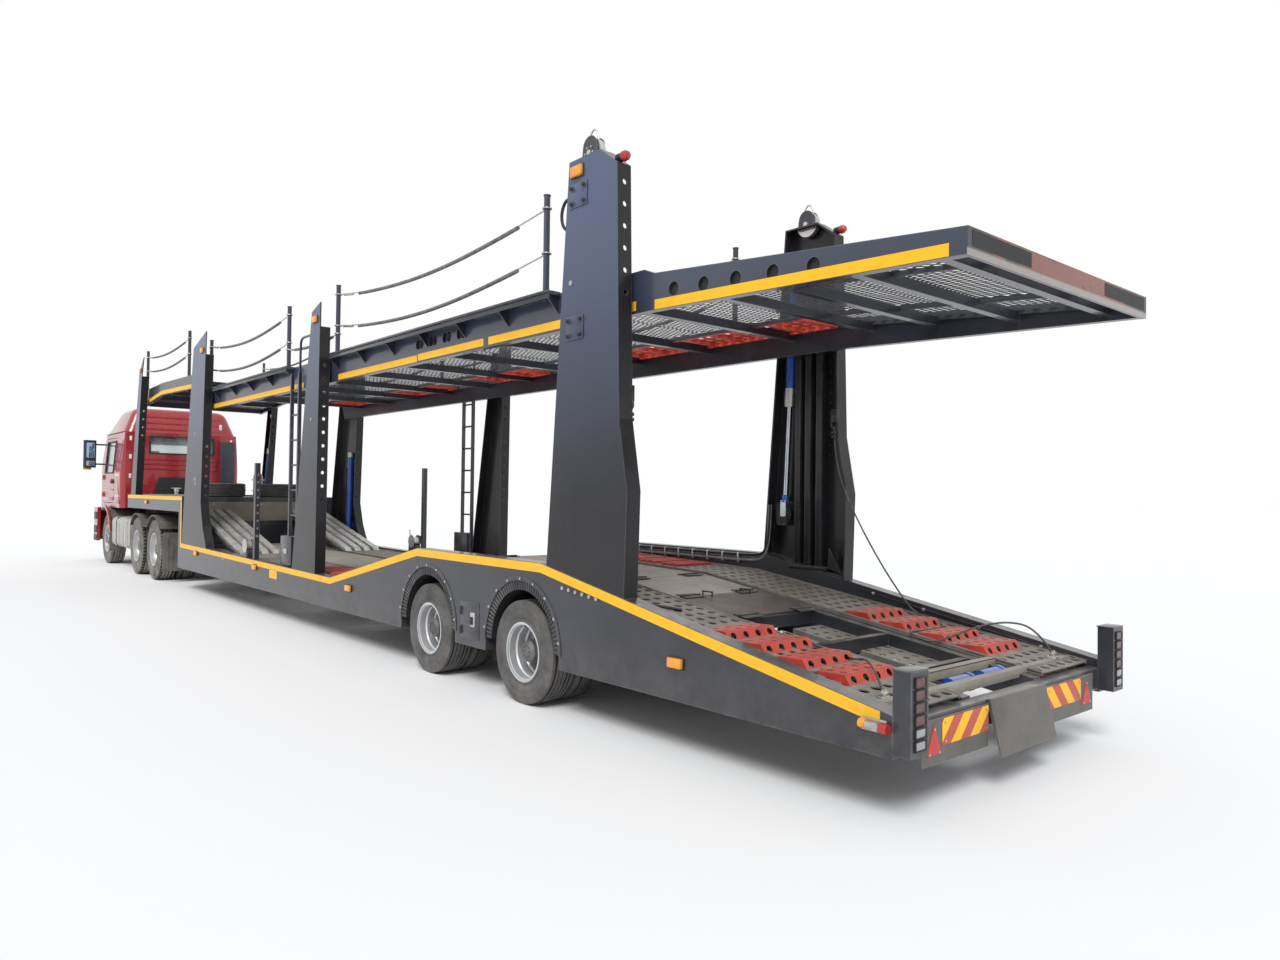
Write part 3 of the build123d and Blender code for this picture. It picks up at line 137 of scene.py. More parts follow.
def finish_of(name, base, rough, metal=0.0, spread=2.2, contrast=0.16, dust=None, grime=None, worn=None,
              painted_sky_sheen=None, relief=0.12, grain=60.0, coat=0.0):
    """A weathered surface: blotched colour, uneven gloss, a painted bluish sky reflection higher up on outer
    faces, dust that settles on top faces, grime that rises from below, worn edges and a fine relief."""
    finish = bpy.data.materials.new(name)
    finish.use_nodes = True
    tree = finish.node_tree
    shader = tree.nodes["Principled BSDF"]
    shader.inputs["Metallic"].default_value = metal
    shader.inputs["Coat Weight"].default_value = coat
    tones = [tuple(min(1, c * (1 + s * contrast)) for c in base) for s in (-1, 1)]
    space, colour = paint_over(finish, base, tones, spread)
    fine = add_node(tree, "ShaderNodeTexNoise", {"Scale": grain, "Detail": 4})
    join(tree, (space, "Object", fine, "Vector"))

    def mix_in(colour, other, factor):
        mix = add_node(tree, "ShaderNodeMix", {"B": (*other, 1)}, data_type="RGBA")
        tree.links.new(factor, mix.inputs["Factor"])
        tree.links.new(colour, mix.inputs["A"])
        return mix.outputs["Result"]

    def patchy(value, low, high, share):
        level = add_node(tree, "ShaderNodeMapRange", {"From Min": low, "From Max": high, "To Max": share})
        tree.links.new(value, level.inputs["Value"])
        patch = add_node(tree, "ShaderNodeTexNoise", {"Scale": 5.5, "Detail": 9, "Roughness": 0.7})
        join(tree, (space, "Object", patch, "Vector"))
        cut = add_node(tree, "ShaderNodeMapRange", {"From Min": 0.34, "From Max": 0.62})
        join(tree, (patch, "Fac", cut, "Value"))
        both = add_node(tree, "ShaderNodeMath", operation="MULTIPLY")
        join(tree, (level, "Result", both, 0), (cut, "Result", both, 1))
        return both.outputs["Value"]

    surface = add_node(tree, "ShaderNodeNewGeometry")
    # Painted sky reflection: a bluish tone mixed into the base colour on outward faces, growing with height.
    if painted_sky_sheen:
        low, high, share, tone = painted_sky_sheen
        spot = add_node(tree, "ShaderNodeSeparateXYZ")
        facing = add_node(tree, "ShaderNodeSeparateXYZ")
        outward = add_node(tree, "ShaderNodeMath", operation="MULTIPLY")
        outer = add_node(tree, "ShaderNodeMapRange", {"From Min": 0.4, "From Max": 1.0})
        level = add_node(tree, "ShaderNodeMapRange", {"From Min": low, "From Max": high, "To Max": share},
                         interpolation_type="SMOOTHSTEP")
        both = add_node(tree, "ShaderNodeMath", operation="MULTIPLY")
        join(tree, (space, "Object", spot, "Vector"), (surface, "Normal", facing, "Vector"),
             (spot, "Y", outward, 0), (facing, "Y", outward, 1), (outward, "Value", outer, "Value"),
             (spot, "Z", level, "Value"), (outer, "Result", both, 0), (level, "Result", both, 1))
        colour = mix_in(colour, tone, both.outputs["Value"])
    if worn:
        rounded = add_node(tree, "ShaderNodeBevel", {"Radius": 0.012}, samples=4)
        dot = add_node(tree, "ShaderNodeVectorMath", operation="DOT_PRODUCT")
        join(tree, (rounded, "Normal", dot, 0), (surface, "Normal", dot, 1))
        colour = mix_in(colour, worn, patchy(dot.outputs["Value"], 0.99, 0.86, 0.85))
    if grime:
        low, high, share, earth = grime
        spot = add_node(tree, "ShaderNodeSeparateXYZ")
        join(tree, (space, "Object", spot, "Vector"))
        colour = mix_in(colour, earth, patchy(spot.outputs["Z"], high, low, share))
    if dust:
        share, earth = dust
        facing = add_node(tree, "ShaderNodeSeparateXYZ")
        join(tree, (surface, "Normal", facing, "Vector"))
        colour = mix_in(colour, earth, patchy(facing.outputs["Z"], 0.45, 0.95, share))
    tree.links.new(colour, shader.inputs["Base Color"])
    gloss = add_node(tree, "ShaderNodeMapRange", {"To Min": rough - 0.09, "To Max": rough + 0.12})
    join(tree, (fine, "Fac", gloss, "Value"), (gloss, "Result", shader, "Roughness"))
    bump = add_node(tree, "ShaderNodeBump", {"Strength": relief, "Distance": 0.004})
    join(tree, (fine, "Fac", bump, "Height"), (bump, "Normal", shader, "Normal"))
    return finish


def dress(finish, *names):
    """Puts a finish on CAD nodes whose shape stays."""
    for name in names:
        slots = nodes[name].data.materials
        slots.clear()
        slots.append(finish)


def tune(finish, socket, value):
    """Sets one value of a finish."""
    finish.node_tree.nodes["Principled BSDF"].inputs[socket].default_value = value


floor_mesh = bpy.data.meshes.new("floor")
bm = bmesh.new()
bmesh.ops.create_grid(bm, x_segments=1, y_segments=1, size=FLOOR_SIZE)
bm.to_mesh(floor_mesh)
bm.free()
floor = bpy.data.objects.new("floor", floor_mesh)
scene.collection.objects.link(floor)
floor_paint = bpy.data.materials.new("pale_floor")
floor_paint.use_nodes = True
tune(floor_paint, "Base Color", FLOOR_TONE)
tune(floor_paint, "Roughness", 0.9)
floor_mesh.materials.append(floor_paint)


# Side girders: long welded plates in dark satin paint that carry the lower deck, cut away over the
# wheels. A yellow reflecting tape follows their top edge, and amber marker lamps are screwed on.
REAR_AXLE = sum((corner.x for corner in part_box("trailer_rim_1_left"))) / 2
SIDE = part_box("side_girders")[1].y
DUST = (0.30, 0.27, 0.23)
EARTH = (0.16, 0.145, 0.125)
YELLOW = (0.94, 0.50, 0.008)
AMBER = (0.85, 0.33, 0.01)
TAPE = 0.066
TAPE_THICK = 0.0015
GIRDER_EDGE = ((-3.16, 0.562), (-0.25, 1.085), (1.7, 1.09), (3.7, 0.67), (9.8, 0.74))
GOOSENECK_EDGE = ((9.8, 1.485), (13.78, 1.485))
MARKERS = ((-1.72, 0.575), (3.19, 0.60), (6.16, 0.61), (8.9, 0.63), (12.19, 1.36))

frame_paint = finish_of("frame_paint", (0.021, 0.023, 0.032), 0.34, contrast=0.3, dust=(0.4, DUST),
                        grime=(0.2, 0.75, 0.35, EARTH), worn=(0.16, 0.16, 0.165), coat=0.3)
yellow_tape = finish_of("yellow_tape", YELLOW, 0.42, contrast=0.06, spread=6, grime=(0.2, 0.7, 0.25, EARTH),
                        relief=0.25, grain=420)
amber_lens = finish_of("amber_lens", AMBER, 0.2, contrast=0.12, spread=20, relief=0.5, grain=260, coat=0.6)
dress(frame_paint, "side_girders", "trailer_frame", "gooseneck", "ladders")


def at(station):
    """A place along the vehicle, measured forward from the rear trailer axle."""
    return REAR_AXLE + station


def piece(name, bm, finishes, body, replaces=()):
    """Puts a finished mesh into the scene, riding on a body of the frame."""
    mesh = bpy.data.meshes.new(name)
    bmesh.ops.recalc_face_normals(bm, faces=bm.faces)
    bm.to_mesh(mesh)
    bm.free()
    for finish in finishes:
        mesh.materials.append(finish)
    mesh.shade_smooth()
    mesh.set_sharp_from_angle(angle=SHARP_EDGE)
    made = bpy.data.objects.new(name, mesh)
    scene.collection.objects.link(made)
    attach(made, body)
    if replaces:
        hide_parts(*replaces)
    return made


def set_finish(verts, number):
    """Gives the faces around some vertices a finish by its number."""
    for face in {face for vert in verts for face in vert.link_faces}:
        face.material_index = number


def verts_of(parts):
    """The vertices among some parts of a mesh."""
    return [part for part in parts if isinstance(part, bmesh.types.BMVert)]


def off(spot, *shifts):
    """Points that lie some way off a spot."""
    return [spot + Vector(shift) for shift in shifts]


def add_box(bm, low, high, ease=0.0, finish=0, turn=None):
    """A block between two opposite corners, with eased edges, turned about its centre if asked."""
    low, high = [Vector(corner) for corner in zip(*[sorted(pair) for pair in zip(low, high)])]
    place = Matrix.Translation((low + high) / 2) @ (turn.to_4x4() if turn else Matrix())
    made = bmesh.ops.create_cube(bm, size=1, matrix=place @ Matrix.Diagonal((*(high - low), 1)))["verts"]
    set_finish(made, finish)
    if ease:
        edges = list(dict.fromkeys(edge for vert in made for edge in vert.link_edges))
        bmesh.ops.bevel(bm, geom=edges, offset=ease, segments=2, profile=0.5, affect="EDGES", material=-1)


def add_bar(bm, start, end, radius, sides=12, finish=0):
    """A round bar between two points."""
    start, end = Vector(start), Vector(end)
    path = end - start
    place = Matrix.Translation((start + end) / 2) @ path.to_track_quat("Z", "Y").to_matrix().to_4x4()
    made = bmesh.ops.create_cone(bm, cap_ends=True, segments=sides, radius1=radius, radius2=radius,
                                 depth=path.length, matrix=place)["verts"]
    set_finish(made, finish)


def side_box(bm, out, low, high, ease=0.0, finish=0):
    """A block on one side, between two corners of station, distance out and height."""
    add_box(bm, *[(at(s), out * y, z) for s, y, z in (low, high)], ease, finish)


def side_bar(bm, out, start, end, radius, sides=12, finish=0):
    """A round bar on one side, between two such points."""
    add_bar(bm, *[(at(s), out * y, z) for s, y, z in (start, end)], radius, sides, finish)


def add_plate(bm, outline, thickness, finish=0):
    """A plate: a flat outline pulled out by a thickness."""
    face = bm.faces.new([bm.verts.new(point) for point in outline])
    face.material_index = finish
    grown = bmesh.ops.extrude_face_region(bm, geom=[face])["geom"]
    bmesh.ops.translate(bm, vec=thickness, verts=verts_of(grown))


def add_tape(bm, edge, drop, width, y):
    """A tape stuck on a side face, a drop below a line of station and height."""
    rows = [[bm.verts.new((at(s), y, z - d)) for s, z in edge] for d in (drop, drop + width)]
    strip = [bm.faces.new((rows[0][i], rows[0][i + 1], rows[1][i + 1], rows[1][i]))
             for i in range(len(edge) - 1)]
    grown = bmesh.ops.extrude_face_region(bm, geom=strip)["geom"]
    out = TAPE_THICK if y > 0 else -TAPE_THICK
    bmesh.ops.translate(bm, vec=(0, out, 0), verts=verts_of(grown))


bm = bmesh.new()
for y in (SIDE, -SIDE):
    add_tape(bm, GIRDER_EDGE, 0.004, TAPE, y)
    add_tape(bm, GOOSENECK_EDGE, 0.004, TAPE * 0.94, y)
    add_tape(bm, ((9.80, 1.41), (9.86, 1.41)), 0.0, 0.74, y)
    add_tape(bm, ((5.35, 0.615), (5.62, 0.618)), 0.0, 0.1, y)
piece("girder_tape", bm, [yellow_tape], "trailer")


def add_marker_lamp(bm, station, y, z, width=0.12, tall=0.062):
    """An amber lamp on its black base."""
    out = 1 if y > 0 else -1
    add_box(bm, (at(station) - width / 2 - 0.008, y, z - tall / 2 - 0.006),
            (at(station) + width / 2 + 0.008, y + out * 0.008, z + tall / 2 + 0.006), 0.003, 1)
    add_box(bm, (at(station) - width / 2, y, z - tall / 2),
            (at(station) + width / 2, y + out * 0.03, z + tall / 2), 0.008, 0)


black_rubber = finish_of("black_rubber", (0.018, 0.018, 0.02), 0.6, contrast=0.3, dust=(0.4, DUST),
                         relief=0.2)
bm = bmesh.new()
for station, z in MARKERS:
    for y in (SIDE, -SIDE):
        add_marker_lamp(bm, station, y, z)
piece("side_markers", bm, [amber_lens, black_rubber], "trailer")

# Arch skirts: a ribbed rubber lip hangs inside each wheel cut-out under a screwed steel strip, in
# front of a dark liner. Between the wheels sits a small hinged hatch with a lever lock.
ARCH = 0.5
ARCH_HEIGHT = 0.44
STRIP = 0.026
SKIRT = 0.075
AXLES = (0.0, 1.49)
bare_steel = finish_of("bare_steel", (0.52, 0.51, 0.49), 0.38, metal=0.85, contrast=0.25, dust=(0.4, DUST),
                       relief=0.2)


def add_half_hoop(bm, station, y, section):
    """A strip bent round a wheel cut-out, from its radius and depth outwards."""
    out = 1 if y > 0 else -1
    line = [bm.verts.new((at(station) + r, y + out * d, ARCH_HEIGHT)) for r, d in section]
    line_edges = [bm.edges.new(ends) for ends in zip(line, line[1:])]
    bmesh.ops.spin(bm, geom=line + line_edges, cent=(at(station), y, ARCH_HEIGHT), axis=(0, -1, 0), angle=pi,
                   steps=48)


bm = bmesh.new()
for axle in AXLES:
    for y in (SIDE, -SIDE):
        add_half_hoop(bm, axle, y, ((ARCH - 0.004, -0.05), (ARCH - 0.004, 0.006), (ARCH + STRIP, 0.006),
                                    (ARCH + STRIP, 0.0)))
        out = 1 if y > 0 else -1
        for step in range(9):
            turn = radians(10 + 20 * step)
            spot = (at(axle) + (ARCH + 0.012) * cos(turn), y, ARCH_HEIGHT + (ARCH + 0.012) * sin(turn))
            add_bar(bm, spot, (spot[0], y + out * 0.013, spot[2]), 0.011, 6, 1)
for out in (1, -1):
    y = out * SIDE
    add_box(bm, (at(0.60), y, 0.40), (at(0.90), y + out * 0.005, 0.70), 0.004)
    for z in (0.46, 0.62):
        add_bar(bm, (at(0.895), y + out * 0.008, z - 0.035), (at(0.895), y + out * 0.008, z + 0.035), 0.011,
                10)
    add_box(bm, (at(0.66), y, 0.50), (at(0.73), y + out * 0.012, 0.62), 0.008, 1)
    add_box(bm, (at(0.68), y, 0.52), (at(0.71), y + out * 0.024, 0.585), 0.006, 2)
    for step in range(6):
        spot = at(-0.93 + 0.078 * step)
        add_bar(bm, (spot, y, 0.886 + 0.008 * step), (spot, y + out * 0.012, 0.886 + 0.008 * step), 0.014, 6,
                1)
piece("arch_strips", bm, [frame_paint, bare_steel, black_rubber], "trailer")

LINER = 0.42
bm = bmesh.new()
for axle in AXLES:
    for y in (SIDE, -SIDE):
        add_half_hoop(bm, axle, y, ((ARCH - 0.005, -0.004), (ARCH - SKIRT, -0.012), (ARCH - SKIRT, -0.02),
                                    (ARCH - 0.005, -0.012)))
        inward = 0.008 if y > 0 else -0.008
        for step in range(45):
            turn = radians(2 + 4 * step)
            rib = [(at(axle) + r * cos(turn), y - inward * deep, ARCH_HEIGHT + r * sin(turn))
                   for r, deep in ((ARCH - 0.008, 0.5), (ARCH - SKIRT + 0.002, 1.5))]
            add_bar(bm, rib[0], rib[1], 0.007, 5, 1)
        add_half_hoop(bm, axle, y, ((LINER, -0.024), (LINER, -0.65), (LINER + 0.006, -0.65),
                                    (LINER + 0.006, -0.024)))
skirt_rubber = finish_of("skirt_rubber", (0.07, 0.071, 0.075), 0.55, contrast=0.4, spread=8,
                         dust=(0.5, DUST), relief=0.2)
piece("arch_skirts", bm, [black_rubber, skirt_rubber], "trailer")


# Trailer axles: round beams with brake drums and leaf springs in black iron, with an air brake
# chamber and its rod behind each drum.
axle_iron = finish_of("axle_iron", (0.035, 0.034, 0.033), 0.55, metal=0.2, contrast=0.4, dust=(0.5, DUST),
                      grime=(0.15, 0.8, 0.7, EARTH), relief=0.4)
dress(axle_iron, "trailer_axles", "tractor_axles", "knuckle_left", "knuckle_right")
bm = bmesh.new()
for axle in AXLES:
    for y in (0.27, -0.27):
        add_bar(bm, (at(axle) + 0.12, y, 0.46), (at(axle) + 0.34, y, 0.50), 0.08, 20)
        add_bar(bm, (at(axle) + 0.22, y, 0.478), (at(axle) + 0.25, y, 0.484), 0.092, 20)
        add_bar(bm, (at(axle), y, 0.44), (at(axle) + 0.13, y, 0.462), 0.012, 10)
        out = 1 if y > 0 else -1
        for leaf in range(4):
            half = 0.44 - 0.085 * leaf
            add_box(bm, (at(axle) - half, out * 0.42 - 0.038, 0.495 - 0.014 * leaf),
                    (at(axle) + half, out * 0.42 + 0.038, 0.506 - 0.014 * leaf), 0.002)
        for end in (-0.09, 0.09):
            side_bar(bm, out, (axle + end, 0.42, 0.36), (axle + end, 0.42, 0.56), 0.011, 10)
piece("brake_chambers", bm, [axle_iron], "trailer")


# Lower deck: perforated wheel tracks over the tail slope, the wheel hump and the low bed, with
# closed covers between them. The covers are dusty plate on black strap hinges.
TRACK_IN, TRACK_OUT = 0.48, 1.13
COVER_HALF = 0.46
PITCH_HOLE, HOLE, RAIL = 0.114, 0.031, 0.012
SHADE_TRAY_DROP = 0.055
TRACK_RUNS = (((-3.15, 0.521), (-0.25, 0.92)), ((-0.25, 0.92), (1.7, 0.98)), ((1.7, 0.98), (3.7, 0.63)),
              ((3.7, 0.63), (9.8, 0.70)))
COVER_ENDS = (-1.45, -0.86, -0.24, 0.72, 1.68, 2.68, 3.72, 5.2, 6.7, 8.2, 9.8)
deck_steel = finish_of("deck_steel", (0.17, 0.155, 0.135), 0.62, contrast=0.35, spread=3.5,
                       dust=(0.75, DUST), worn=(0.33, 0.31, 0.29), relief=0.35)
dark_cover = finish_of("dark_cover", (0.075, 0.06, 0.058), 0.55, contrast=0.5, spread=2.8,
                       dust=(0.32, (0.2, 0.15, 0.13)), relief=0.3)
dusty_cover = finish_of("dusty_cover", (0.30, 0.275, 0.23), 0.7, contrast=0.22, spread=3,
                        dust=(0.6, (0.38, 0.35, 0.3)), relief=0.3)
tread_paint = finish_of("tread_paint", (0.52, 0.052, 0.030), 0.5, contrast=0.25, spread=7,
                        dust=(0.5, (0.40, 0.17, 0.13)), worn=(0.30, 0.2, 0.17), relief=0.3)


def mesh_from(holder):
    """The final mesh of a helper object, which is then thrown away."""
    bpy.context.view_layer.update()
    made = bpy.data.meshes.new_from_object(holder.evaluated_get(bpy.context.evaluated_depsgraph_get()))
    bpy.data.objects.remove(holder)
    return made


def perforated(count, rows, pitch, row_pitch, radius, thickness, sides):
    """A flat sheet of one pierced cell repeated both ways, in XY from the origin."""
    cell = bmesh.new()
    rim = bmesh.ops.create_circle(cell, segments=sides, radius=1)["verts"]
    for vert in rim:
        vert.co *= 0.5 / max(abs(vert.co.x), abs(vert.co.y))
        vert.co.x, vert.co.y = vert.co.x * pitch, vert.co.y * row_pitch
    bmesh.ops.create_circle(cell, segments=sides, radius=radius)
    bmesh.ops.bridge_loops(cell, edges=list(cell.edges))
    bmesh.ops.translate(cell, vec=(pitch / 2, row_pitch / 2, 0), verts=cell.verts)
    sheet = bpy.data.meshes.new("sheet")
    cell.to_mesh(sheet)
    cell.free()
    holder = bpy.data.objects.new("sheet", sheet)
    scene.collection.objects.link(holder)
    for times, step in ((count, (pitch, 0, 0)), (rows, (0, row_pitch, 0))):
        array = holder.modifiers.new("repeat", "ARRAY")
        array.count = times
        array.use_relative_offset = False
        array.use_constant_offset = True
        array.constant_offset_displace = step
        array.use_merge_vertices = True
        array.merge_threshold = 0.0005
    wall = holder.modifiers.new("wall", "SOLIDIFY")
    wall.thickness = thickness
    wall.offset = -1
    return mesh_from(holder)


def lay(bm, mesh, corner, along, over, finish=0):
    """Lays a sheet from a corner, its X along one direction and its Y along another."""
    old = set(bm.verts)
    bm.from_mesh(mesh)
    along, over = Vector(along).normalized(), Vector(over).normalized()
    turn = Matrix((along, over, along.cross(over))).transposed().to_4x4()
    fresh = [vert for vert in bm.verts if vert not in old]
    bmesh.ops.transform(bm, matrix=Matrix.Translation(corner) @ turn, verts=fresh)
    set_finish(fresh, finish)


def deck_height(station, runs=TRACK_RUNS):
    """The top of a deck at a station; of the lower one if no other is named."""
    for (s0, z0), (s1, z1) in runs:
        if station <= s1:
            return z0 + (z1 - z0) * (station - s0) / (s1 - s0)
    return runs[-1][1][1]


def add_strip(bm, run_ends, y, over, under, width, finish=0):
    """An upright strip along a run of station and height, from over it to under it."""
    (s0, z0), (s1, z1) = run_ends
    add_plate(bm, [(at(s0), y, z0 + over), (at(s1), y, z1 + over), (at(s1), y, z1 - under),
                   (at(s0), y, z0 - under)], (0, width, 0), finish)


def add_track(bm, run_ends, inner, outer, rows, thickness, sides, over, under):
    """A pair of punched wheel tracks, each between two rails that reach over and under it."""
    (s0, z0), (s1, z1) = run_ends
    run = Vector((s1 - s0, 0, z1 - z0))
    count = round(run.length / PITCH_HOLE)
    sheet = perforated(count, rows, run.length / count, (outer - inner) / rows, HOLE, thickness, sides)
    for y in (inner, -outer):
        lay(bm, sheet, (at(s0), y, z0), run, (0, 1, 0))
    for y in (inner, outer - RAIL, -inner - RAIL, -outer):
        add_strip(bm, run_ends, y, over, under, RAIL)


bm = bmesh.new()
for number, run_ends in enumerate(TRACK_RUNS):
    add_track(bm, run_ends, TRACK_IN, TRACK_OUT, 6, 0.008, 8 if number else 16, 0.018, 0.01)
deck_tracks = piece("deck_tracks", bm, [deck_steel], "trailer")
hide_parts("lower_deck")

# Dark trays a little under the first three track runs: painted shade, a dark sheet that makes the punched
# holes read dark.
bm = bmesh.new()
for run_ends in TRACK_RUNS[:3]:
    for y in (TRACK_IN + 0.01, -TRACK_OUT + 0.01):
        add_strip(bm, run_ends, y, -SHADE_TRAY_DROP, SHADE_TRAY_DROP + 0.004, TRACK_OUT - TRACK_IN - 0.02)
piece("shade_trays", bm, [black_rubber], "trailer")

bm = bmesh.new()
for number, (s0, s1) in enumerate(zip(COVER_ENDS, COVER_ENDS[1:])):
    finish = 0 if number == 0 else 1
    stations = [s0 + 0.006] + [s for s in (-0.25, 1.7, 3.7) if s0 < s < s1] + [s1 - 0.006]
    top_line = [(at(s), -COVER_HALF, deck_height(s) - 0.001) for s in stations]
    under = [(x, y, z - 0.009) for x, y, z in reversed(top_line)]
    add_plate(bm, top_line + under, (0, 2 * COVER_HALF, 0), finish)
for s in COVER_ENDS[:5]:
    for y in (0.30, -0.30):
        z = deck_height(s)
        slope = deck_height(s + 0.1) - deck_height(s - 0.05)
        turn = Matrix.Rotation(-slope / 0.15, 3, "Y")
        add_box(bm, (at(s) - 0.06, y - 0.10, z + 0.001), (at(s) + 0.06, y + 0.10, z + 0.007), 0.002, 2, turn)
        add_bar(bm, (at(s), y - 0.10, z + 0.008), (at(s), y + 0.10, z + 0.008), 0.008, 8, 2)
for s, y in ((-0.90, 0.16), (-0.92, -0.24), (0.52, 0.2)):
    z = deck_height(s)
    for end in (-0.05, 0.05):
        add_bar(bm, (at(s) + end, y, z), (at(s) + end, y, z + 0.035), 0.006, 8, 2)
    add_bar(bm, (at(s) - 0.056, y, z + 0.035), (at(s) + 0.056, y, z + 0.035), 0.006, 8, 2)
piece("deck_covers", bm, [dark_cover, dusty_cover, black_rubber], "trailer")

bm = bmesh.new()
for s0 in (0.25, 0.55, 0.85, 1.15, 1.78, 2.08, 2.38, 2.68, 2.98, 3.28, 4.2, 4.5, 4.8):
    z0, z1 = deck_height(s0), deck_height(s0 + 0.22)
    for y in (0.58, -1.04):
        run = Vector((0.22, 0, z1 - z0))
        for rung in range(3):
            start = Vector((at(s0), y, z0 + 0.012)) + run * (rung / 2.6)
            add_box(bm, *off(start, (-0.012, 0, -0.012), (0.03, 0.46, 0.02)), 0.004)
piece("bed_treads", bm, [tread_paint], "trailer")

# Wheel chocks on the tail slope: folded red plates with punched holes, screwed down in a row
# along each track.
CHOCKS = (-1.78, -2.07, -2.38, -2.67)
CHOCK_REAR, CHOCK_CROWN, CHOCK_FRONT = Vector((-0.115, 0)), Vector((-0.07, 0.052)), Vector((0.11, 0.022))
CHOCK_IN, CHOCK_WIDE = 0.52, 0.45
CHOCK_SHEET = 0.005
rear_face = perforated(1, 4, (CHOCK_CROWN - CHOCK_REAR).length, CHOCK_WIDE / 4, 0.024, CHOCK_SHEET, 16)
top_face = perforated(2, 4, (CHOCK_FRONT - CHOCK_CROWN).length / 2, CHOCK_WIDE / 4, 0.021, CHOCK_SHEET, 16)
tail_run = Vector((2.98, 0, 0.41)).normalized()
tail_up = tail_run.cross(Vector((0, 1, 0)))
bm = bmesh.new()
for s in CHOCKS:
    for y in (CHOCK_IN, -CHOCK_IN - CHOCK_WIDE):
        foot = Vector((at(s), y, deck_height(s)))
        rear, crest, front = [foot + tail_run * part.x + tail_up * part.y
                              for part in (CHOCK_REAR, CHOCK_CROWN, CHOCK_FRONT)]
        nose = foot + tail_run * CHOCK_FRONT.x
        lay(bm, rear_face, rear, crest - rear, (0, 1, 0))
        lay(bm, top_face, crest, front - crest, (0, 1, 0))
        add_plate(bm, [front, nose, nose + Vector((0, CHOCK_WIDE, 0)), front + Vector((0, CHOCK_WIDE, 0))],
                  tail_run * -CHOCK_SHEET)
        for side in (0.0, CHOCK_WIDE - CHOCK_SHEET):
            add_plate(bm, [point + Vector((0, side, 0)) for point in (rear, nose, front, crest)],
                      (0, CHOCK_SHEET, 0))
chocks = piece("wheel_chocks", bm, [tread_paint], "trailer")
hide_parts("wheel_ramps")

# Tail pocket: the open well between the tail rails, where a pair of punched planks is stowed above
# the blue ram that works them, behind two dusty cross angles.
cylinder_paint = finish_of("cylinder_paint", (0.012, 0.085, 0.42), 0.28, contrast=0.25, dust=(0.3, DUST),
                           coat=0.5)
plank = perforated(12, 3, 0.11, 0.11, 0.026, 0.006, 8)
bm = bmesh.new()
for y in (0.06, -0.39):
    lay(bm, plank, (at(-2.86), y, 0.47), (1.32, 0, 0.17), (0, 1, 0))
    for edge in (y, y + 0.322):
        add_plate(bm, [(at(-2.86), edge, 0.47), (at(-1.55), edge, 0.639), (at(-1.55), edge, 0.56),
                       (at(-2.86), edge, 0.40)], (0, 0.008, 0))
piece("stowed_planks", bm, [deck_steel], "trailer")
bm = bmesh.new()
for s, half in ((-3.06, 1.09), (-2.86, 0.47)):
    z = deck_height(s) + 0.022
    add_box(bm, (at(s), -half, z - 0.008), (at(s) + 0.06, half, z), 0.002)
    add_box(bm, (at(s), -half, z - 0.055), (at(s) + 0.008, half, z), 0.002)
for y in (0.18, -0.18):
    add_bar(bm, (at(-2.97), y - 0.11, 0.518), (at(-2.97), y + 0.11, 0.518), 0.048, 20, 1)
    add_bar(bm, (at(-2.97), y + 0.11, 0.518), (at(-2.97), y + 0.17, 0.518), 0.02, 16, 2)
    add_bar(bm, (at(-2.97), y - 0.125, 0.518), (at(-2.97), y - 0.10, 0.518), 0.054, 20, 1)
add_box(bm, (at(-2.83), 0.36, 0.44), (at(-2.62), 0.42, 0.56), 0.01, 1)
add_bar(bm, (at(-2.97), -0.43, 0.518), (at(-2.97), 0.43, 0.518), 0.018, 12, 2)
piece("tail_rams", bm, [dusty_cover, cylinder_paint, bare_steel], "trailer")


# Tail: steel boards with red and yellow reflecting stripes and a red triangle, lamp clusters up
# both posts in black frames, and a pair of small marker lamps on each corner.
BOARD_FACE = REAR_AXLE - 3.24
RED = (0.55, 0.035, 0.03)
board_plate = finish_of("board_plate", (0.13, 0.125, 0.115), 0.5, metal=0.3, contrast=0.3, dust=(0.6, DUST),
                        grime=(0.2, 0.5, 0.5, EARTH), worn=(0.3, 0.3, 0.29), relief=0.25)
red_lens = finish_of("red_lens", (0.42, 0.012, 0.012), 0.2, contrast=0.2, spread=25, relief=0.5, grain=260,
                     coat=0.6)
clear_lens = finish_of("clear_lens", (0.30, 0.31, 0.33), 0.15, contrast=0.1, spread=25, relief=0.4,
                       grain=260, coat=0.6)
red_reflector = finish_of("red_reflector", RED, 0.4, contrast=0.12, spread=12, relief=0.3, grain=420,
                          grime=(0.25, 0.5, 0.3, EARTH))
dress(board_plate, "tail_boards")
dark_lens = finish_of("dark_lens", (0.085, 0.012, 0.012), 0.22, contrast=0.4, spread=25, relief=0.5,
                      grain=260, coat=0.5)
dress(dark_lens, "tail_lamps")

hazard = finish_of("hazard_stripes", YELLOW, 0.42, contrast=0.08, spread=9, relief=0.3, grain=420)
tree = hazard.node_tree
shader = tree.nodes["Principled BSDF"]
under_colour = shader.inputs["Base Color"].links[0].from_socket
spot = add_node(tree, "ShaderNodeTexCoord")
parts = add_node(tree, "ShaderNodeSeparateXYZ")
away = add_node(tree, "ShaderNodeMath", operation="ABSOLUTE")
lean = add_node(tree, "ShaderNodeMath", {1: 0.95}, operation="MULTIPLY_ADD")
share = add_node(tree, "ShaderNodeMath", {1: 5.2}, operation="MULTIPLY")
saw = add_node(tree, "ShaderNodeMath", operation="FRACT")
band = add_node(tree, "ShaderNodeMath", {1: 0.5}, operation="GREATER_THAN")
two = add_node(tree, "ShaderNodeMix", {"B": (0.50, 0.085, 0.055, 1)}, data_type="RGBA")
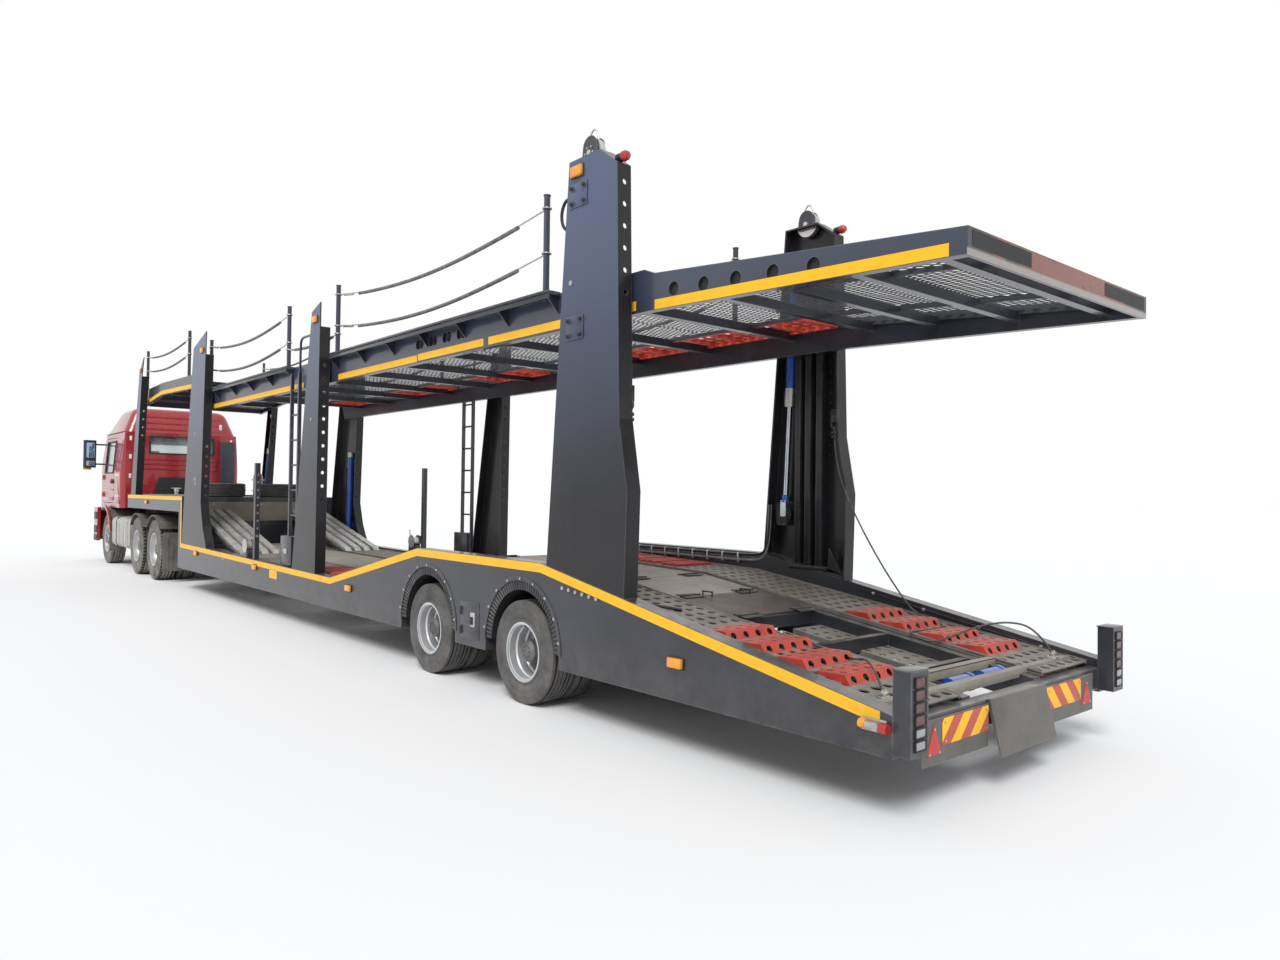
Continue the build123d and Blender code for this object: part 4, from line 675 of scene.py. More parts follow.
join(tree, (spot, "Object", parts, "Vector"), (parts, "Y", away, 0), (parts, "Z", lean, 0),
     (away, "Value", lean, 2), (lean, "Value", share, 0), (share, "Value", saw, 0), (saw, "Value", band, 0),
     (band, "Value", two, "Factor"))
tree.links.new(under_colour, two.inputs["A"])
join(tree, (two, "Result", shader, "Base Color"))

bm = bmesh.new()
for out in (1, -1):
    add_box(bm, (BOARD_FACE - 0.003, out * 0.35, 0.335), (BOARD_FACE, out * 0.82, 0.472), 0.001, 0)
    inner, tip, outer = out * 0.835, out * 0.90, out * 0.965
    add_plate(bm, [(BOARD_FACE, inner, 0.30), (BOARD_FACE, outer, 0.30), (BOARD_FACE, tip, 0.455)],
              (-0.004, 0, 0), 1)
    for y, z in ((0.375, 0.45), (0.795, 0.45), (0.375, 0.355), (0.795, 0.355), (0.90, 0.43), (0.855, 0.31),
                 (0.945, 0.31)):
        add_bar(bm, (BOARD_FACE - 0.002, out * y, z), (BOARD_FACE - 0.008, out * y, z), 0.007, 8, 2)
piece("hazard_panels", bm, [hazard, red_reflector, bare_steel], "trailer")

bm = bmesh.new()
POST_FACE = REAR_AXLE - 3.33
for out in (1, -1):
    for step in range(6):
        z = 0.416 + 0.06 * step
        for low, high in (((1.128, z - 0.027), (1.222, z - 0.021)), ((1.128, z + 0.021), (1.222, z + 0.027)),
                          ((1.128, z - 0.027), (1.135, z + 0.027)),
                          ((1.215, z - 0.027), (1.222, z + 0.027))):
            add_box(bm, (POST_FACE - 0.009, out * low[0], low[1]), (POST_FACE, out * high[0], high[1]),
                    0.001)
    add_box(bm, (POST_FACE, out * 1.092, 0.768), (POST_FACE + 0.105, out * 1.258, 0.776), 0.002, 1)
piece("lamp_frames", bm, [black_rubber, frame_paint], "trailer")

bm = bmesh.new()
for out in (1, -1):
    for step in (0, 1):
        add_box(bm, (POST_FACE - 0.0078, out * 1.138, 0.398 + 0.06 * step),
                (POST_FACE - 0.0058, out * 1.212, 0.434 + 0.06 * step), 0.0008)
piece("reversing_lenses", bm, [clear_lens], "trailer")

bm = bmesh.new()
for out in (1, -1):
    y = out * SIDE
    tip = y + out * 0.06
    add_box(bm, (at(-3.20), y, 0.455), (at(-3.06), y + out * 0.008, 0.52), 0.002, 2)
    add_bar(bm, (at(-3.16), y, 0.49), (at(-3.16), y + out * 0.05, 0.49), 0.022, 16, 2)
    add_bar(bm, (at(-3.18), tip - out * 0.03, 0.488), (at(-3.225), tip - out * 0.03, 0.486), 0.026, 18, 0)
    add_bar(bm, (at(-3.10), tip - out * 0.03, 0.49), (at(-3.065), tip - out * 0.03, 0.492), 0.024, 18, 1)
    add_bar(bm, (at(-3.18), tip - out * 0.03, 0.488), (at(-3.10), tip - out * 0.03, 0.49), 0.021, 16, 2)
piece("corner_lamps", bm, [red_lens, amber_lens, bare_steel], "trailer")


# Gooseneck: the stepped neck over the coupling, with wheel tracks on its top. A dusty plate closes
# its rear face, and two spare wheels and a fire extinguisher are strapped down.
NECK_TOP = 1.476
SPARE_STATION, SPARE_Y = 10.5, 0.48
tyre_rubber = finish_of("tyre_rubber", (0.058, 0.057, 0.056), 0.75, contrast=0.35, spread=6,
                        dust=(0.55, DUST), grime=(-0.4, 1.6, 0.9, (0.20, 0.19, 0.178)), relief=0.35,
                        grain=110)
rim_steel = finish_of("rim_steel", (0.60, 0.61, 0.62), 0.36, metal=0.55, contrast=0.12, spread=5,
                      dust=(0.3, DUST), relief=0.15, grain=90)
cab_paint = finish_of("cab_paint", (0.33, 0.013, 0.019), 0.26, contrast=0.12, spread=1.6,
                      grime=(0.4, 1.6, 0.35, EARTH), relief=0.05, coat=0.7)


def turned(bm, profile, place, steps, closed=True, finish=0):
    """A ring turned about its own Z axis from radius and height, then put in place."""
    line = [bm.verts.new((r, 0, h)) for r, h in profile]
    ends = list(zip(line, line[1:])) + ([(line[-1], line[0])] if closed else [])
    edges = [bm.edges.new(pair) for pair in ends]
    old = set(bm.verts) - set(line)
    bmesh.ops.spin(bm, geom=line + edges, cent=(0, 0, 0), axis=(0, 0, 1), angle=tau, steps=steps,
                   use_merge=True)
    fresh = [vert for vert in bm.verts if vert not in old]
    bmesh.ops.remove_doubles(bm, verts=fresh, dist=0.00005)
    fresh = [vert for vert in bm.verts if vert not in old]
    bmesh.ops.transform(bm, matrix=place, verts=fresh)
    set_finish(fresh, finish)


def placed(spot, angle, axis):
    """A place at a spot, turned about an axis."""
    return Matrix.Translation(spot) @ Matrix.Rotation(angle, 4, axis)


def tyre_section(radius, width, bead, ribs, groove, deep):
    """Half a tyre's outline from bead to tread edge, the grooved tread, and the other half."""
    tall = radius - bead
    wall = ((0.0, 0.385), (0.03, 0.41), (0.12, 0.452), (0.26, 0.485), (0.42, 0.5), (0.44, 0.493),
            (0.6, 0.491), (0.62, 0.497), (0.66, 0.497), (0.68, 0.486), (0.80, 0.476), (0.9, 0.455),
            (0.965, 0.432))
    low = [(bead + tall * share, -width * half) for share, half in wall]
    rib = (0.84 * width - (ribs - 1) * groove) / ribs
    tread = []
    for number in range(ribs):
        start = -0.42 * width + number * (rib + groove)
        drop = 0.006 * abs(number - (ribs - 1) / 2) / ((ribs - 1) / 2)
        if number:
            tread += [(radius - drop - deep, start - groove * 0.8),
                      (radius - drop - deep, start - groove * 0.2)]
        tread += [(radius - drop, start), (radius - drop, start + rib)]
    return low + tread + [(r, -h) for r, h in reversed(low)]


TRAILER_TYRE = (0.395, 0.235, 0.2223)
TRACTOR_TYRE = (0.530, 0.300, 0.2863)
bm = bmesh.new()
for y in (SPARE_Y, -SPARE_Y):
    flat = Matrix.Translation((at(SPARE_STATION), y, NECK_TOP + TRAILER_TYRE[1] / 2))
    turned(bm, tyre_section(*TRAILER_TYRE, 5, 0.011, 0.012), flat, 72)
    turned(bm, ((0.222, 0.09), (0.236, 0.1), (0.236, 0.108), (0.215, 0.108), (0.206, 0.04), (0.165, 0.012),
                (0.10, 0.012), (0.10, -0.012), (0.165, -0.012), (0.222, -0.09)), flat, 64, finish=1)
    for step in range(10):
        turn = tau * step / 10
        spot = flat @ Vector((0.132 * cos(turn), 0.132 * sin(turn), 0.012))
        add_bar(bm, spot, spot + Vector((0, 0, 0.004)), 0.013, 12, 2)
    hold = flat @ Vector((0, 0, 0.014))
    add_box(bm, *off(hold, (-0.03, -0.13, 0), (0.03, 0.13, 0.012)), 0.003, 3)
    add_bar(bm, hold - Vector((0, 0, 0.125)), hold + Vector((0, 0, 0.06)), 0.012, 10, 3)
spares = piece("spare_wheels_strapped", bm, [tyre_rubber, rim_steel, black_rubber, bare_steel], "trailer")
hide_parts("spare_wheels")

bm = bmesh.new()
bottle = Vector((at(11.03), -0.30, NECK_TOP))
turned(bm, ((0.0, 0.0), (0.072, 0.0), (0.08, 0.02), (0.08, 0.36), (0.066, 0.41), (0.026, 0.44),
            (0.026, 0.46), (0.0, 0.46)), Matrix.Translation(bottle), 32, closed=False)
add_box(bm, *off(bottle, (-0.09, -0.014, 0.46), (0.06, 0.014, 0.485)), 0.005, 1)
add_box(bm, *off(bottle, (-0.085, -0.012, 0.50), (0.03, 0.012, 0.515)), 0.004, 1,
        Matrix.Rotation(radians(8), 3, "Y"))
add_bar(bm, *off(bottle, (0.05, 0.0, 0.47), (0.098, 0.01, 0.20)), 0.012, 10, 1)
for z in (0.1, 0.3):
    add_box(bm, *off(bottle, (-0.086, -0.09, z), (0.086, 0.09, z + 0.02)), 0.02, 2)
piece("extinguisher", bm, [cab_paint, black_rubber, bare_steel], "trailer")

bm = bmesh.new()
for s0, s1 in ((11.45, 12.55), (12.57, 13.67)):
    count = round((s1 - s0) / PITCH_HOLE)
    sheet = perforated(count, 5, (s1 - s0) / count, 0.11, HOLE, 0.006, 8)
    for y in (0.50, -1.05):
        lay(bm, sheet, (at(s0), y, 1.494), (1, 0, 0), (0, 1, 0))
        for edge in (y, y + 0.538):
            add_box(bm, (at(s0), edge, 1.47), (at(s1), edge + 0.012, 1.502), 0.002)
piece("neck_tracks", bm, [deck_steel], "trailer")

bm = bmesh.new()
add_plate(bm, [(at(9.955), -1.12, 1.08), (at(9.955), 1.12, 1.08), (at(9.90), 1.12, 1.40),
               (at(9.90), -1.12, 1.40)], (0.006, 0, 0))
for y in (-0.75, 0.0, 0.75):
    add_bar(bm, (at(9.898), y, 1.36), (at(9.89), y, 1.361), 0.012, 8, 1)
for y in (1.12, -1.12):
    add_box(bm, (at(9.99), y, 1.476), (at(13.7), y * 0.99, 1.50), 0.002, 0)
piece("neck_plate", bm, [dusty_cover, bare_steel], "trailer")

# Loading ramps: galvanised planks of ribbed channel from the low bed up to the neck.
RAMP_FOOT, RAMP_HEAD = (7.52, 0.682), (9.95, 1.247)
galvanised = finish_of("galvanised", (0.62, 0.61, 0.57), 0.42, metal=0.5, contrast=0.3, spread=9,
                       dust=(0.35, DUST), relief=0.2)
dress(frame_paint, "loading_ramps")
bm = bmesh.new()
for start in (0.485, -1.045):
    for rib in range(4):
        y = start + 0.148 * rib
        add_plate(bm, [(at(RAMP_FOOT[0]), y, RAMP_FOOT[1]), (at(RAMP_HEAD[0]), y, RAMP_HEAD[1]),
                       (at(RAMP_HEAD[0]), y, RAMP_HEAD[1] + 0.035),
                       (at(RAMP_FOOT[0] + 0.05), y, RAMP_FOOT[1] + 0.047)], (0, 0.09, 0))
piece("ramp_ribs", bm, [galvanised], "trailer")


# Columns: welded channels in dark blue-black paint. The rear pair carries bolted cover plates, a
# marker lamp, and the rope sheave between steel cheeks on its top.
# The bluish tone higher up on the columns' outer faces is a painted sky reflection.
column_paint = finish_of("column_paint", (0.016, 0.0155, 0.018), 0.30, contrast=0.45, spread=1.1,
                         painted_sky_sheen=(1.3, 3.9, 0.85, (0.095, 0.125, 0.215)), dust=(0.3, DUST),
                         worn=(0.13, 0.13, 0.14), coat=0.12)
tune(column_paint, "Specular IOR Level", 0.3)
dress(column_paint, "front_columns", "rear_columns")
SHEAVE = (-0.76, 3.975)
COLUMN_LAMPS = ((-0.655, 3.868, 0.125, 0.075), (4.235, 3.52, 0.11, 0.07), (8.78, 3.70, 0.11, 0.07),
                (12.88, 3.80, 0.10, 0.065))


def smooth_line(name, points, radius, rounds):
    """An object with a round tube along a smooth line through a few points."""
    line = bpy.data.curves.new(name, "CURVE")
    line.dimensions = "3D"
    line.bevel_depth = radius
    line.bevel_resolution = rounds
    line.use_fill_caps = True
    spline = line.splines.new("NURBS")
    spline.points.add(len(points) - 1)
    for point, place in zip(spline.points, points):
        point.co = (*place, 1)
    spline.order_u = 3
    spline.use_endpoint_u = True
    spline.resolution_u = 8
    made = bpy.data.objects.new(name, line)
    scene.collection.objects.link(made)
    return made


def add_tube(bm, points, radius, finish=0):
    """Adds such a tube to a piece as a mesh."""
    old = set(bm.verts)
    bm.from_mesh(mesh_from(smooth_line("tube", points, radius, 4)))
    set_finish([vert for vert in bm.verts if vert not in old], finish)


def ring_profile(radius, wire):
    """The round section of a ring of wire, for turning."""
    return [(radius + wire * cos(a), wire * sin(a)) for a in (tau * k / 8 for k in range(8))]


bm = bmesh.new()
for out in (1, -1):
    y = out * SIDE
    for s, z in ((-0.668, 3.70), (-0.642, 2.764)):
        add_box(bm, (at(s) - 0.10, y, z - 0.085), (at(s) + 0.10, y + out * 0.007, z + 0.085), 0.003)
        for ds in (-0.07, 0.07):
            for dz in (-0.055, 0.055):
                add_bar(bm, (at(s + ds), y, z + dz), (at(s + ds), y + out * 0.012, z + dz), 0.022, 16)
                add_bar(bm, (at(s + ds), y + out * 0.01, z + dz), (at(s + ds), y + out * 0.027, z + dz),
                        0.015, 6, 1)
    for s, z in ((-0.587, 3.09), (4.32, 2.4), (9.1, 1.75), (9.1, 2.45)):
        add_bar(bm, (at(s), y, z), (at(s), y + out * 0.006, z), 0.019, 16, 2)
    add_box(bm, (at(9.03), y, 1.66), (at(9.06), y + out * 0.001, 1.78), 0.0003, 2)
    add_bar(bm, (at(7.547), y, 0.64), (at(7.547), y + out * 0.005, 0.64), 0.028, 20, 2)
    add_tube(bm, [(at(4.915), out * 1.17, 2.99), (at(4.915), out * 1.17, 3.33),
                  (at(4.88), out * 1.17, 3.395), (at(4.75), out * 1.17, 3.405),
                  (at(4.395), out * 1.17, 3.395)], 0.014, 0)
piece("column_plates", bm, [column_paint, axle_iron, bare_steel], "trailer")

bm = bmesh.new()
for out in (1, -1):
    centre = Vector((at(SHEAVE[0]), out * 1.1925, SHEAVE[1]))
    lying = placed(centre, pi / 2, "X")
    turned(bm, ((0.02, -0.023), (0.106, -0.023), (0.109, -0.012), (0.1055, 0.0), (0.109, 0.012),
                (0.106, 0.023), (0.02, 0.023)), lying, 40)
    for side in (-0.032, 0.032):
        cheek = [(centre.x - 0.085, centre.y + side, 3.93), (centre.x + 0.085, centre.y + side, 3.93)]
        cheek += [(centre.x + 0.078 * cos(a), centre.y + side, SHEAVE[1] + 0.045 + 0.078 * sin(a))
                  for a in (radians(20 * k) for k in range(0, 10))]
        add_plate(bm, cheek, (0, 0.007 if side > 0 else -0.007, 0), 1)
    add_bar(bm, centre - Vector((0, 0.05, 0)), centre + Vector((0, 0.05, 0)), 0.022, 16)
    for step in range(6):
        turn = tau * step / 6
        spot = centre + Vector((0.045 * cos(turn), out * 0.041, 0.045 * sin(turn)))
        add_bar(bm, spot, spot + Vector((0, out * 0.006, 0)), 0.007, 8)
    add_tube(bm, [centre + Vector((-0.05, 0, 0.09)), centre + Vector((-0.045, 0, 0.145)),
                  centre + Vector((0.0, 0, 0.185)), centre + Vector((0.045, 0, 0.145)),
                  centre + Vector((0.05, 0, 0.09))], 0.007)
piece("rope_sheaves", bm, [bare_steel, frame_paint], "trailer")

bm = bmesh.new()
for y in (SIDE, -SIDE):
    for s, z, width, tall in COLUMN_LAMPS:
        add_marker_lamp(bm, s, y, z, width, tall)
piece("column_markers", bm, [amber_lens, black_rubber], "trailer")
bm = bmesh.new()
for out in (1, -1):
    spot = Vector((at(-1.04), out * 1.2, 3.865))
    add_bar(bm, spot, spot + Vector((-0.06, 0, 0)), 0.03, 16, 1)
    turned(bm, ((0.0, 0.05), (0.022, 0.045), (0.034, 0.028), (0.036, 0.0), (0.0, 0.0)),
           placed(spot + Vector((-0.06, 0, 0)), -pi / 2, "Y"), 20, closed=False)
piece("column_tail_lights", bm, [red_lens, black_rubber], "trailer")


# Lift cylinders: blue barrels inside the columns with polished rods, steel glands and black hoses
# clipped to the column.
rod_chrome = finish_of("rod_chrome", (0.42, 0.44, 0.49), 0.2, metal=1.0, contrast=0.12, spread=12,
                       relief=0.04)
dress(cylinder_paint, "lift_cylinders")
dress(rod_chrome, "rear_lift_rods", "front_lift_rods")
LIFT_Y = 1.184
HOSE_LINES = ((1.118, 0.026, 0.011), (1.117, 0.052, 0.011), (1.113, 0.080, 0.014), (1.095, 0.030, 0.009))
HOSE_EDGE = ((3.55, 0.72), (2.7, 0.885), (1.8, 1.08), (1.2, 1.092), (0.5, 1.088), (-0.1, 1.088))
GLANDS = (((-0.5826, 2.555), (-0.5748, 2.392)), ((13.158, 2.36), (13.138, 2.46)),
          ((9.008, 2.18), (9.005, 2.26)))
HOSES = (((-0.70, 3.60), (-0.74, 3.2), (-0.80, 2.2), (-0.86, 1.3)),
         ((9.12, 2.0), (9.2, 1.7), (9.22, 1.2), (9.2, 0.85)),
         ((13.30, 2.2), (13.34, 1.9), (13.36, 1.7), (13.35, 1.52)))
bm = bmesh.new()
for out in (1, -1):
    for (s0, z0), (s1, z1) in GLANDS:
        side_bar(bm, out, (s0, LIFT_Y, z0), (s1, LIFT_Y, z1), 0.051, 24)
    for s, z in ((-0.64, 3.70), (13.32, 1.58), (9.05, 0.94)):
        side_bar(bm, out, (s, LIFT_Y - 0.055, z), (s, LIFT_Y - 0.03, z), 0.022, 6)
piece("cylinder_glands", bm, [bare_steel], "trailer")


def tail_edge(station):
    """The top edge of the girder over the tail slope."""
    (s0, z0), (s1, z1) = GIRDER_EDGE[:2]
    return z0 + (z1 - z0) / (s1 - s0) * (station - s0)


hose_grey = finish_of("hose_grey", (0.20, 0.20, 0.205), 0.55, contrast=0.3, spread=9, dust=(0.5, DUST),
                      relief=0.2)
bm = bmesh.new()
for out in (1, -1):
    for route in HOSES:
        for shift in (0.0, 0.035):
            add_tube(bm, [(at(s + shift), out * (1.21 if k else 1.17), z) for k, (s, z) in enumerate(route)],
                     0.011)
piece("lift_hoses", bm, [black_rubber], "trailer")

bm = bmesh.new()
for out in (1, -1):
    for number, (y, drop, radius) in enumerate(HOSE_LINES):
        level = [(s, z - drop) for s, z in HOSE_EDGE]
        rise = [(-0.28, 1.095 - drop), (-0.355, 1.11 - drop * 0.5), (-0.375 - 0.010 * number, 1.25),
                (-0.385 - 0.010 * number, 1.52)]
        sway = 0.006 if number % 2 else -0.006
        course = [(s, y + (sway if step % 2 else 0.0), z) for step, (s, z) in enumerate(level)]
        course += [(s, y + 0.02, z) for s, z in rise]
        add_tube(bm, [(at(s), out * far, z) for s, far, z in course], radius, 0 if number < 3 else 1)
    for step in range(9):
        s = -0.05 + 0.2 * step
        side_box(bm, out, (s - 0.009, 1.088, 0.985), (s + 0.009, 1.13, 1.076), 0.003, 2)
    add_tube(bm, [(at(s), out * 1.122, tail_edge(s) - 0.035) for s in (-1.35, -1.8, -2.3, -2.8, -3.08)],
             0.005, 1)
    for s in (-1.5, -1.95, -2.4, -2.85):
        z = tail_edge(s) - 0.035
        side_box(bm, out, (s - 0.012, 1.114, z - 0.012), (s + 0.012, 1.13, z + 0.012), 0.003, 2)
    add_tube(bm, [(at(-0.52), out * 1.16, 3.72), (at(-0.40), out * 1.15, 3.78),
                  (at(-0.31), out * 1.145, 3.69), (at(-0.33), out * 1.145, 3.56),
                  (at(-0.46), out * 1.15, 3.50), (at(-0.58), out * 1.16, 3.46)], 0.012, 1)
add_tube(bm, [(at(-0.56), 1.05, 0.91), (at(-0.70), 0.98, 0.885), (at(-0.86), 0.93, 0.855),
              (at(-1.03), 0.86, 0.83), (at(-1.22), 0.73, 0.804)], 0.011, 1)
piece("hose_runs", bm, [hose_grey, black_rubber, bare_steel], "trailer")


# Guide rails inside the rear columns: three pressed channels from the girder up to the head, with a
# row of stud heads, a foot plate with a gusset, and a hook for the deck rope on the rear edge.
RAIL_STATIONS = (-0.70, -0.81, -0.93)
RAIL_FOOT, RAIL_HEAD = 1.0, 3.62
HOOK = (-1.105, 2.23)
bm = bmesh.new()
for out in (1, -1):
    for s in RAIL_STATIONS:
        side_box(bm, out, (s - 0.032, 1.138, RAIL_FOOT), (s + 0.032, 1.150, RAIL_HEAD), 0.004)
        for edge in (-0.032, 0.024):
            add_box(bm, (at(s) + edge, out * 1.138, RAIL_FOOT),
                    (at(s) + edge + 0.008, out * 1.236, RAIL_HEAD), 0.003)
    for step in range(14):
        spot = Vector((at(-0.985), out * 1.236, 1.95 + 0.09 * step))
        add_bar(bm, spot, spot - Vector((0, out * 0.012, 0)), 0.012, 8, 1)
    side_box(bm, out, (-1.02, 1.125, 0.965), (-0.62, 1.24, RAIL_FOOT), 0.006)
    add_plate(bm, [(at(-1.02), out * 1.16, 0.99), (at(-1.15), out * 1.16, 0.965),
                   (at(-1.03), out * 1.16, 1.16)], (0, out * 0.012, 0))
    spot = Vector((at(HOOK[0]), out * 1.13, HOOK[1]))
    add_box(bm, *off(spot, (-0.03, -0.022, -0.01), (0.03, 0.022, 0.10)), 0.006)
    turned(bm, ring_profile(0.034, 0.011), placed(spot - Vector((0, 0, 0.03)), pi / 2, "X"), 20, finish=1)
    for z in (2.10, 2.135):
        side_box(bm, out, (HOOK[0] - 0.024, 1.105, z - 0.012), (HOOK[0] + 0.02, 1.135, z + 0.012), 0.004, 1)
piece("column_rails", bm, [column_paint, axle_iron], "trailer")

bm = bmesh.new()
for out in (1, -1):
    for side in (-0.024, 0.018):
        spot = Vector((at(-0.532), out * LIFT_Y + side, 1.44))
        add_box(bm, *off(spot, (-0.062, 0, -0.10), (0.062, 0.006, 0.11)), 0.028, 0)
    side_bar(bm, out, (-0.532, 1.15, 1.44), (-0.532, 1.218, 1.44), 0.024, 16, 1)
    side_bar(bm, out, (-0.5336, LIFT_Y, 1.55), (-0.5365, LIFT_Y, 1.61), 0.034, 20, 2)
piece("rope_blocks", bm, [axle_iron, bare_steel, cylinder_paint], "rear_lift_rods")


# Low bed fittings: a gusset, the hand winch and the tool box at the foot of the middle columns.
POST_STATION = 6.33
bm = bmesh.new()
for out in (1, -1):
    y = out * 1.19
    add_plate(bm, [(at(POST_STATION) + 0.03, y, 0.95), (at(POST_STATION) + 0.20, y, 0.95),
                   (at(POST_STATION) + 0.03, y, 0.78)], (0, 0.008, 0))
    drum = Vector((at(6.62), y, 0.86))
    add_bar(bm, drum - Vector((0, 0.05, 0)), drum + Vector((0, 0.05, 0)), 0.06, 24, 2)
    for side in (-0.055, 0.05):
        add_bar(bm, *off(drum, (0, side, 0), (0, side + 0.006, 0)), 0.095, 24, 2)
    add_box(bm, *off(drum, (-0.09, -0.055, -0.16), (0.09, 0.055, -0.06)), 0.006, 0)
    add_bar(bm, *off(drum, (0, out * -0.06, 0), (0.03, out * -0.066, 0.17)), 0.009, 10, 2)
    side_box(bm, out, (4.98, 1.14, 0.70), (5.34, 1.22, 1.05), 0.008, 0)
    add_box(bm, (at(5.10), out * 1.225 - 0.003, 0.84), (at(5.22), out * 1.225 + 0.003, 0.90), 0.002, 2)
piece("bed_posts", bm, [frame_paint, black_rubber, bare_steel], "trailer")


# Main upper deck: long side beams with a yellow tape along the lower edge, a floor of expanded
# metal in the middle and red punched treads under the wheels.
BEAM_OUT = 1.095
FLOOR_RUNS = (((-3.49, 2.85), (-1.25, 3.02)), ((-1.25, 3.02), (8.9, 3.03)))
FLOOR_HALF = 0.48
TREAD_IN, TREAD_OUT = 0.50, 1.033
TREAD_RUNS = ((-1.2, 1.25), (2.9, 4.0), (5.1, 6.1), (7.6, 8.5))
EXPANDED = finish_of("expanded_metal", (0.075, 0.078, 0.085), 0.45, metal=0.4, contrast=0.3,
                     dust=(0.55, DUST), relief=0.2)
dress(frame_paint, "front_deck")

# The rear end plate of the main deck is bare primer between dark end panels, with a scraped lip.
# The deck beams' outer faces also get a painted bluish sky reflection near their top.
deck_paint = finish_of("deck_paint", (0.021, 0.023, 0.032), 0.34, contrast=0.3, dust=(0.4, DUST),
                       painted_sky_sheen=(2.4, 3.2, 0.7, (0.05, 0.065, 0.115)), worn=(0.16, 0.16, 0.165), coat=0.3)
tree = deck_paint.node_tree
shader = tree.nodes["Principled BSDF"]
coated = shader.inputs["Base Color"].links[0].from_socket
spot = add_node(tree, "ShaderNodeTexCoord")
parts = add_node(tree, "ShaderNodeSeparateXYZ")
flakes = add_node(tree, "ShaderNodeTexNoise", {"Scale": 4.0, "Detail": 8, "Roughness": 0.7})
flaked = add_node(tree, "ShaderNodeMapRange", {"From Min": 0.40, "From Max": 0.47})
rear_face = add_node(tree, "ShaderNodeMath", {1: at(-3.512)}, operation="LESS_THAN")
middle = add_node(tree, "ShaderNodeMath", operation="ABSOLUTE")
inside = add_node(tree, "ShaderNodeMapRange", {"From Min": 0.88, "From Max": 0.80})
lip = add_node(tree, "ShaderNodeMapRange", {"From Min": 2.782, "From Max": 2.770})
bare = add_node(tree, "ShaderNodeMath", operation="MULTIPLY")
primed = add_node(tree, "ShaderNodeMath", operation="MULTIPLY")
scraped = add_node(tree, "ShaderNodeMath", operation="MULTIPLY")
primer = add_node(tree, "ShaderNodeMix", {"B": (0.20, 0.055, 0.035, 1)}, data_type="RGBA")
scrape = add_node(tree, "ShaderNodeMix", {"B": (0.30, 0.27, 0.24, 1)}, data_type="RGBA")
join(tree, (spot, "Object", parts, "Vector"), (spot, "Object", flakes, "Vector"), (parts, "X", rear_face, 0),
     (parts, "Y", middle, 0), (middle, "Value", inside, "Value"), (parts, "Z", lip, "Value"),
     (flakes, "Fac", flaked, "Value"), (rear_face, "Value", bare, 0), (flaked, "Result", bare, 1),
     (bare, "Value", primed, 0), (inside, "Result", primed, 1), (rear_face, "Value", scraped, 0),
     (lip, "Result", scraped, 1))
tree.links.new(coated, primer.inputs["A"])
join(tree, (primed, "Value", primer, "Factor"), (primer, "Result", scrape, "A"),
     (scraped, "Value", scrape, "Factor"), (scrape, "Result", shader, "Base Color"))
dress(deck_paint, "main_deck")


def expanded(length, width, diamond, thickness):
    """A sheet of expanded metal in XY from the origin: diamonds with thin strands, trimmed square."""
    long, short = diamond
    count = round(length / long) + round(width / short) + 2
    sheet = bmesh.new()
    slant = Matrix.Diagonal((long / 2, short / 2, 1, 1)) @ Matrix(((1, 1, 0, 0), (1, -1, 0, 0), (0, 0, 1, 0),
            (0, 0, 0, 1)))
    middle = Matrix.Translation((length / 2, width / 2, 0))
    bmesh.ops.create_grid(sheet, x_segments=count, y_segments=count, size=count / 2, matrix=middle @ slant)
    for spot, away in (((0, 0, 0), (-1, 0, 0)), ((length, 0, 0), (1, 0, 0)), ((0, 0, 0), (0, -1, 0)),
                       ((0, width, 0), (0, 1, 0))):
        bmesh.ops.bisect_plane(sheet, geom=list(sheet.verts) + list(sheet.edges) + list(sheet.faces),
                               plane_co=spot, plane_no=away, clear_outer=True)
    cells = list(sheet.faces)
    bmesh.ops.inset_individual(sheet, faces=cells, thickness=0.0042, use_even_offset=True)
    bmesh.ops.delete(sheet, geom=cells, context="FACES")
    bmesh.ops.solidify(sheet, geom=list(sheet.faces), thickness=thickness)
    made = bpy.data.meshes.new("expanded")
    sheet.to_mesh(made)
    sheet.free()
    return made


bm = bmesh.new()
for (s0, z0), (s1, z1) in FLOOR_RUNS:
    run = Vector((s1 - s0, 0, z1 - z0))
    tiles = max(1, round(run.length / 1.1))
    sheet = expanded(run.length / tiles, 2 * FLOOR_HALF, (0.11, 0.048), 0.004)
    for tile in range(tiles):
        lay(bm, sheet, Vector((at(s0), -FLOOR_HALF, z0 - 0.003)) + run * (tile / tiles), run, (0, 1, 0))
deck_mesh = piece("deck_mesh", bm, [EXPANDED], "main_deck")
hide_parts("deck_floor")

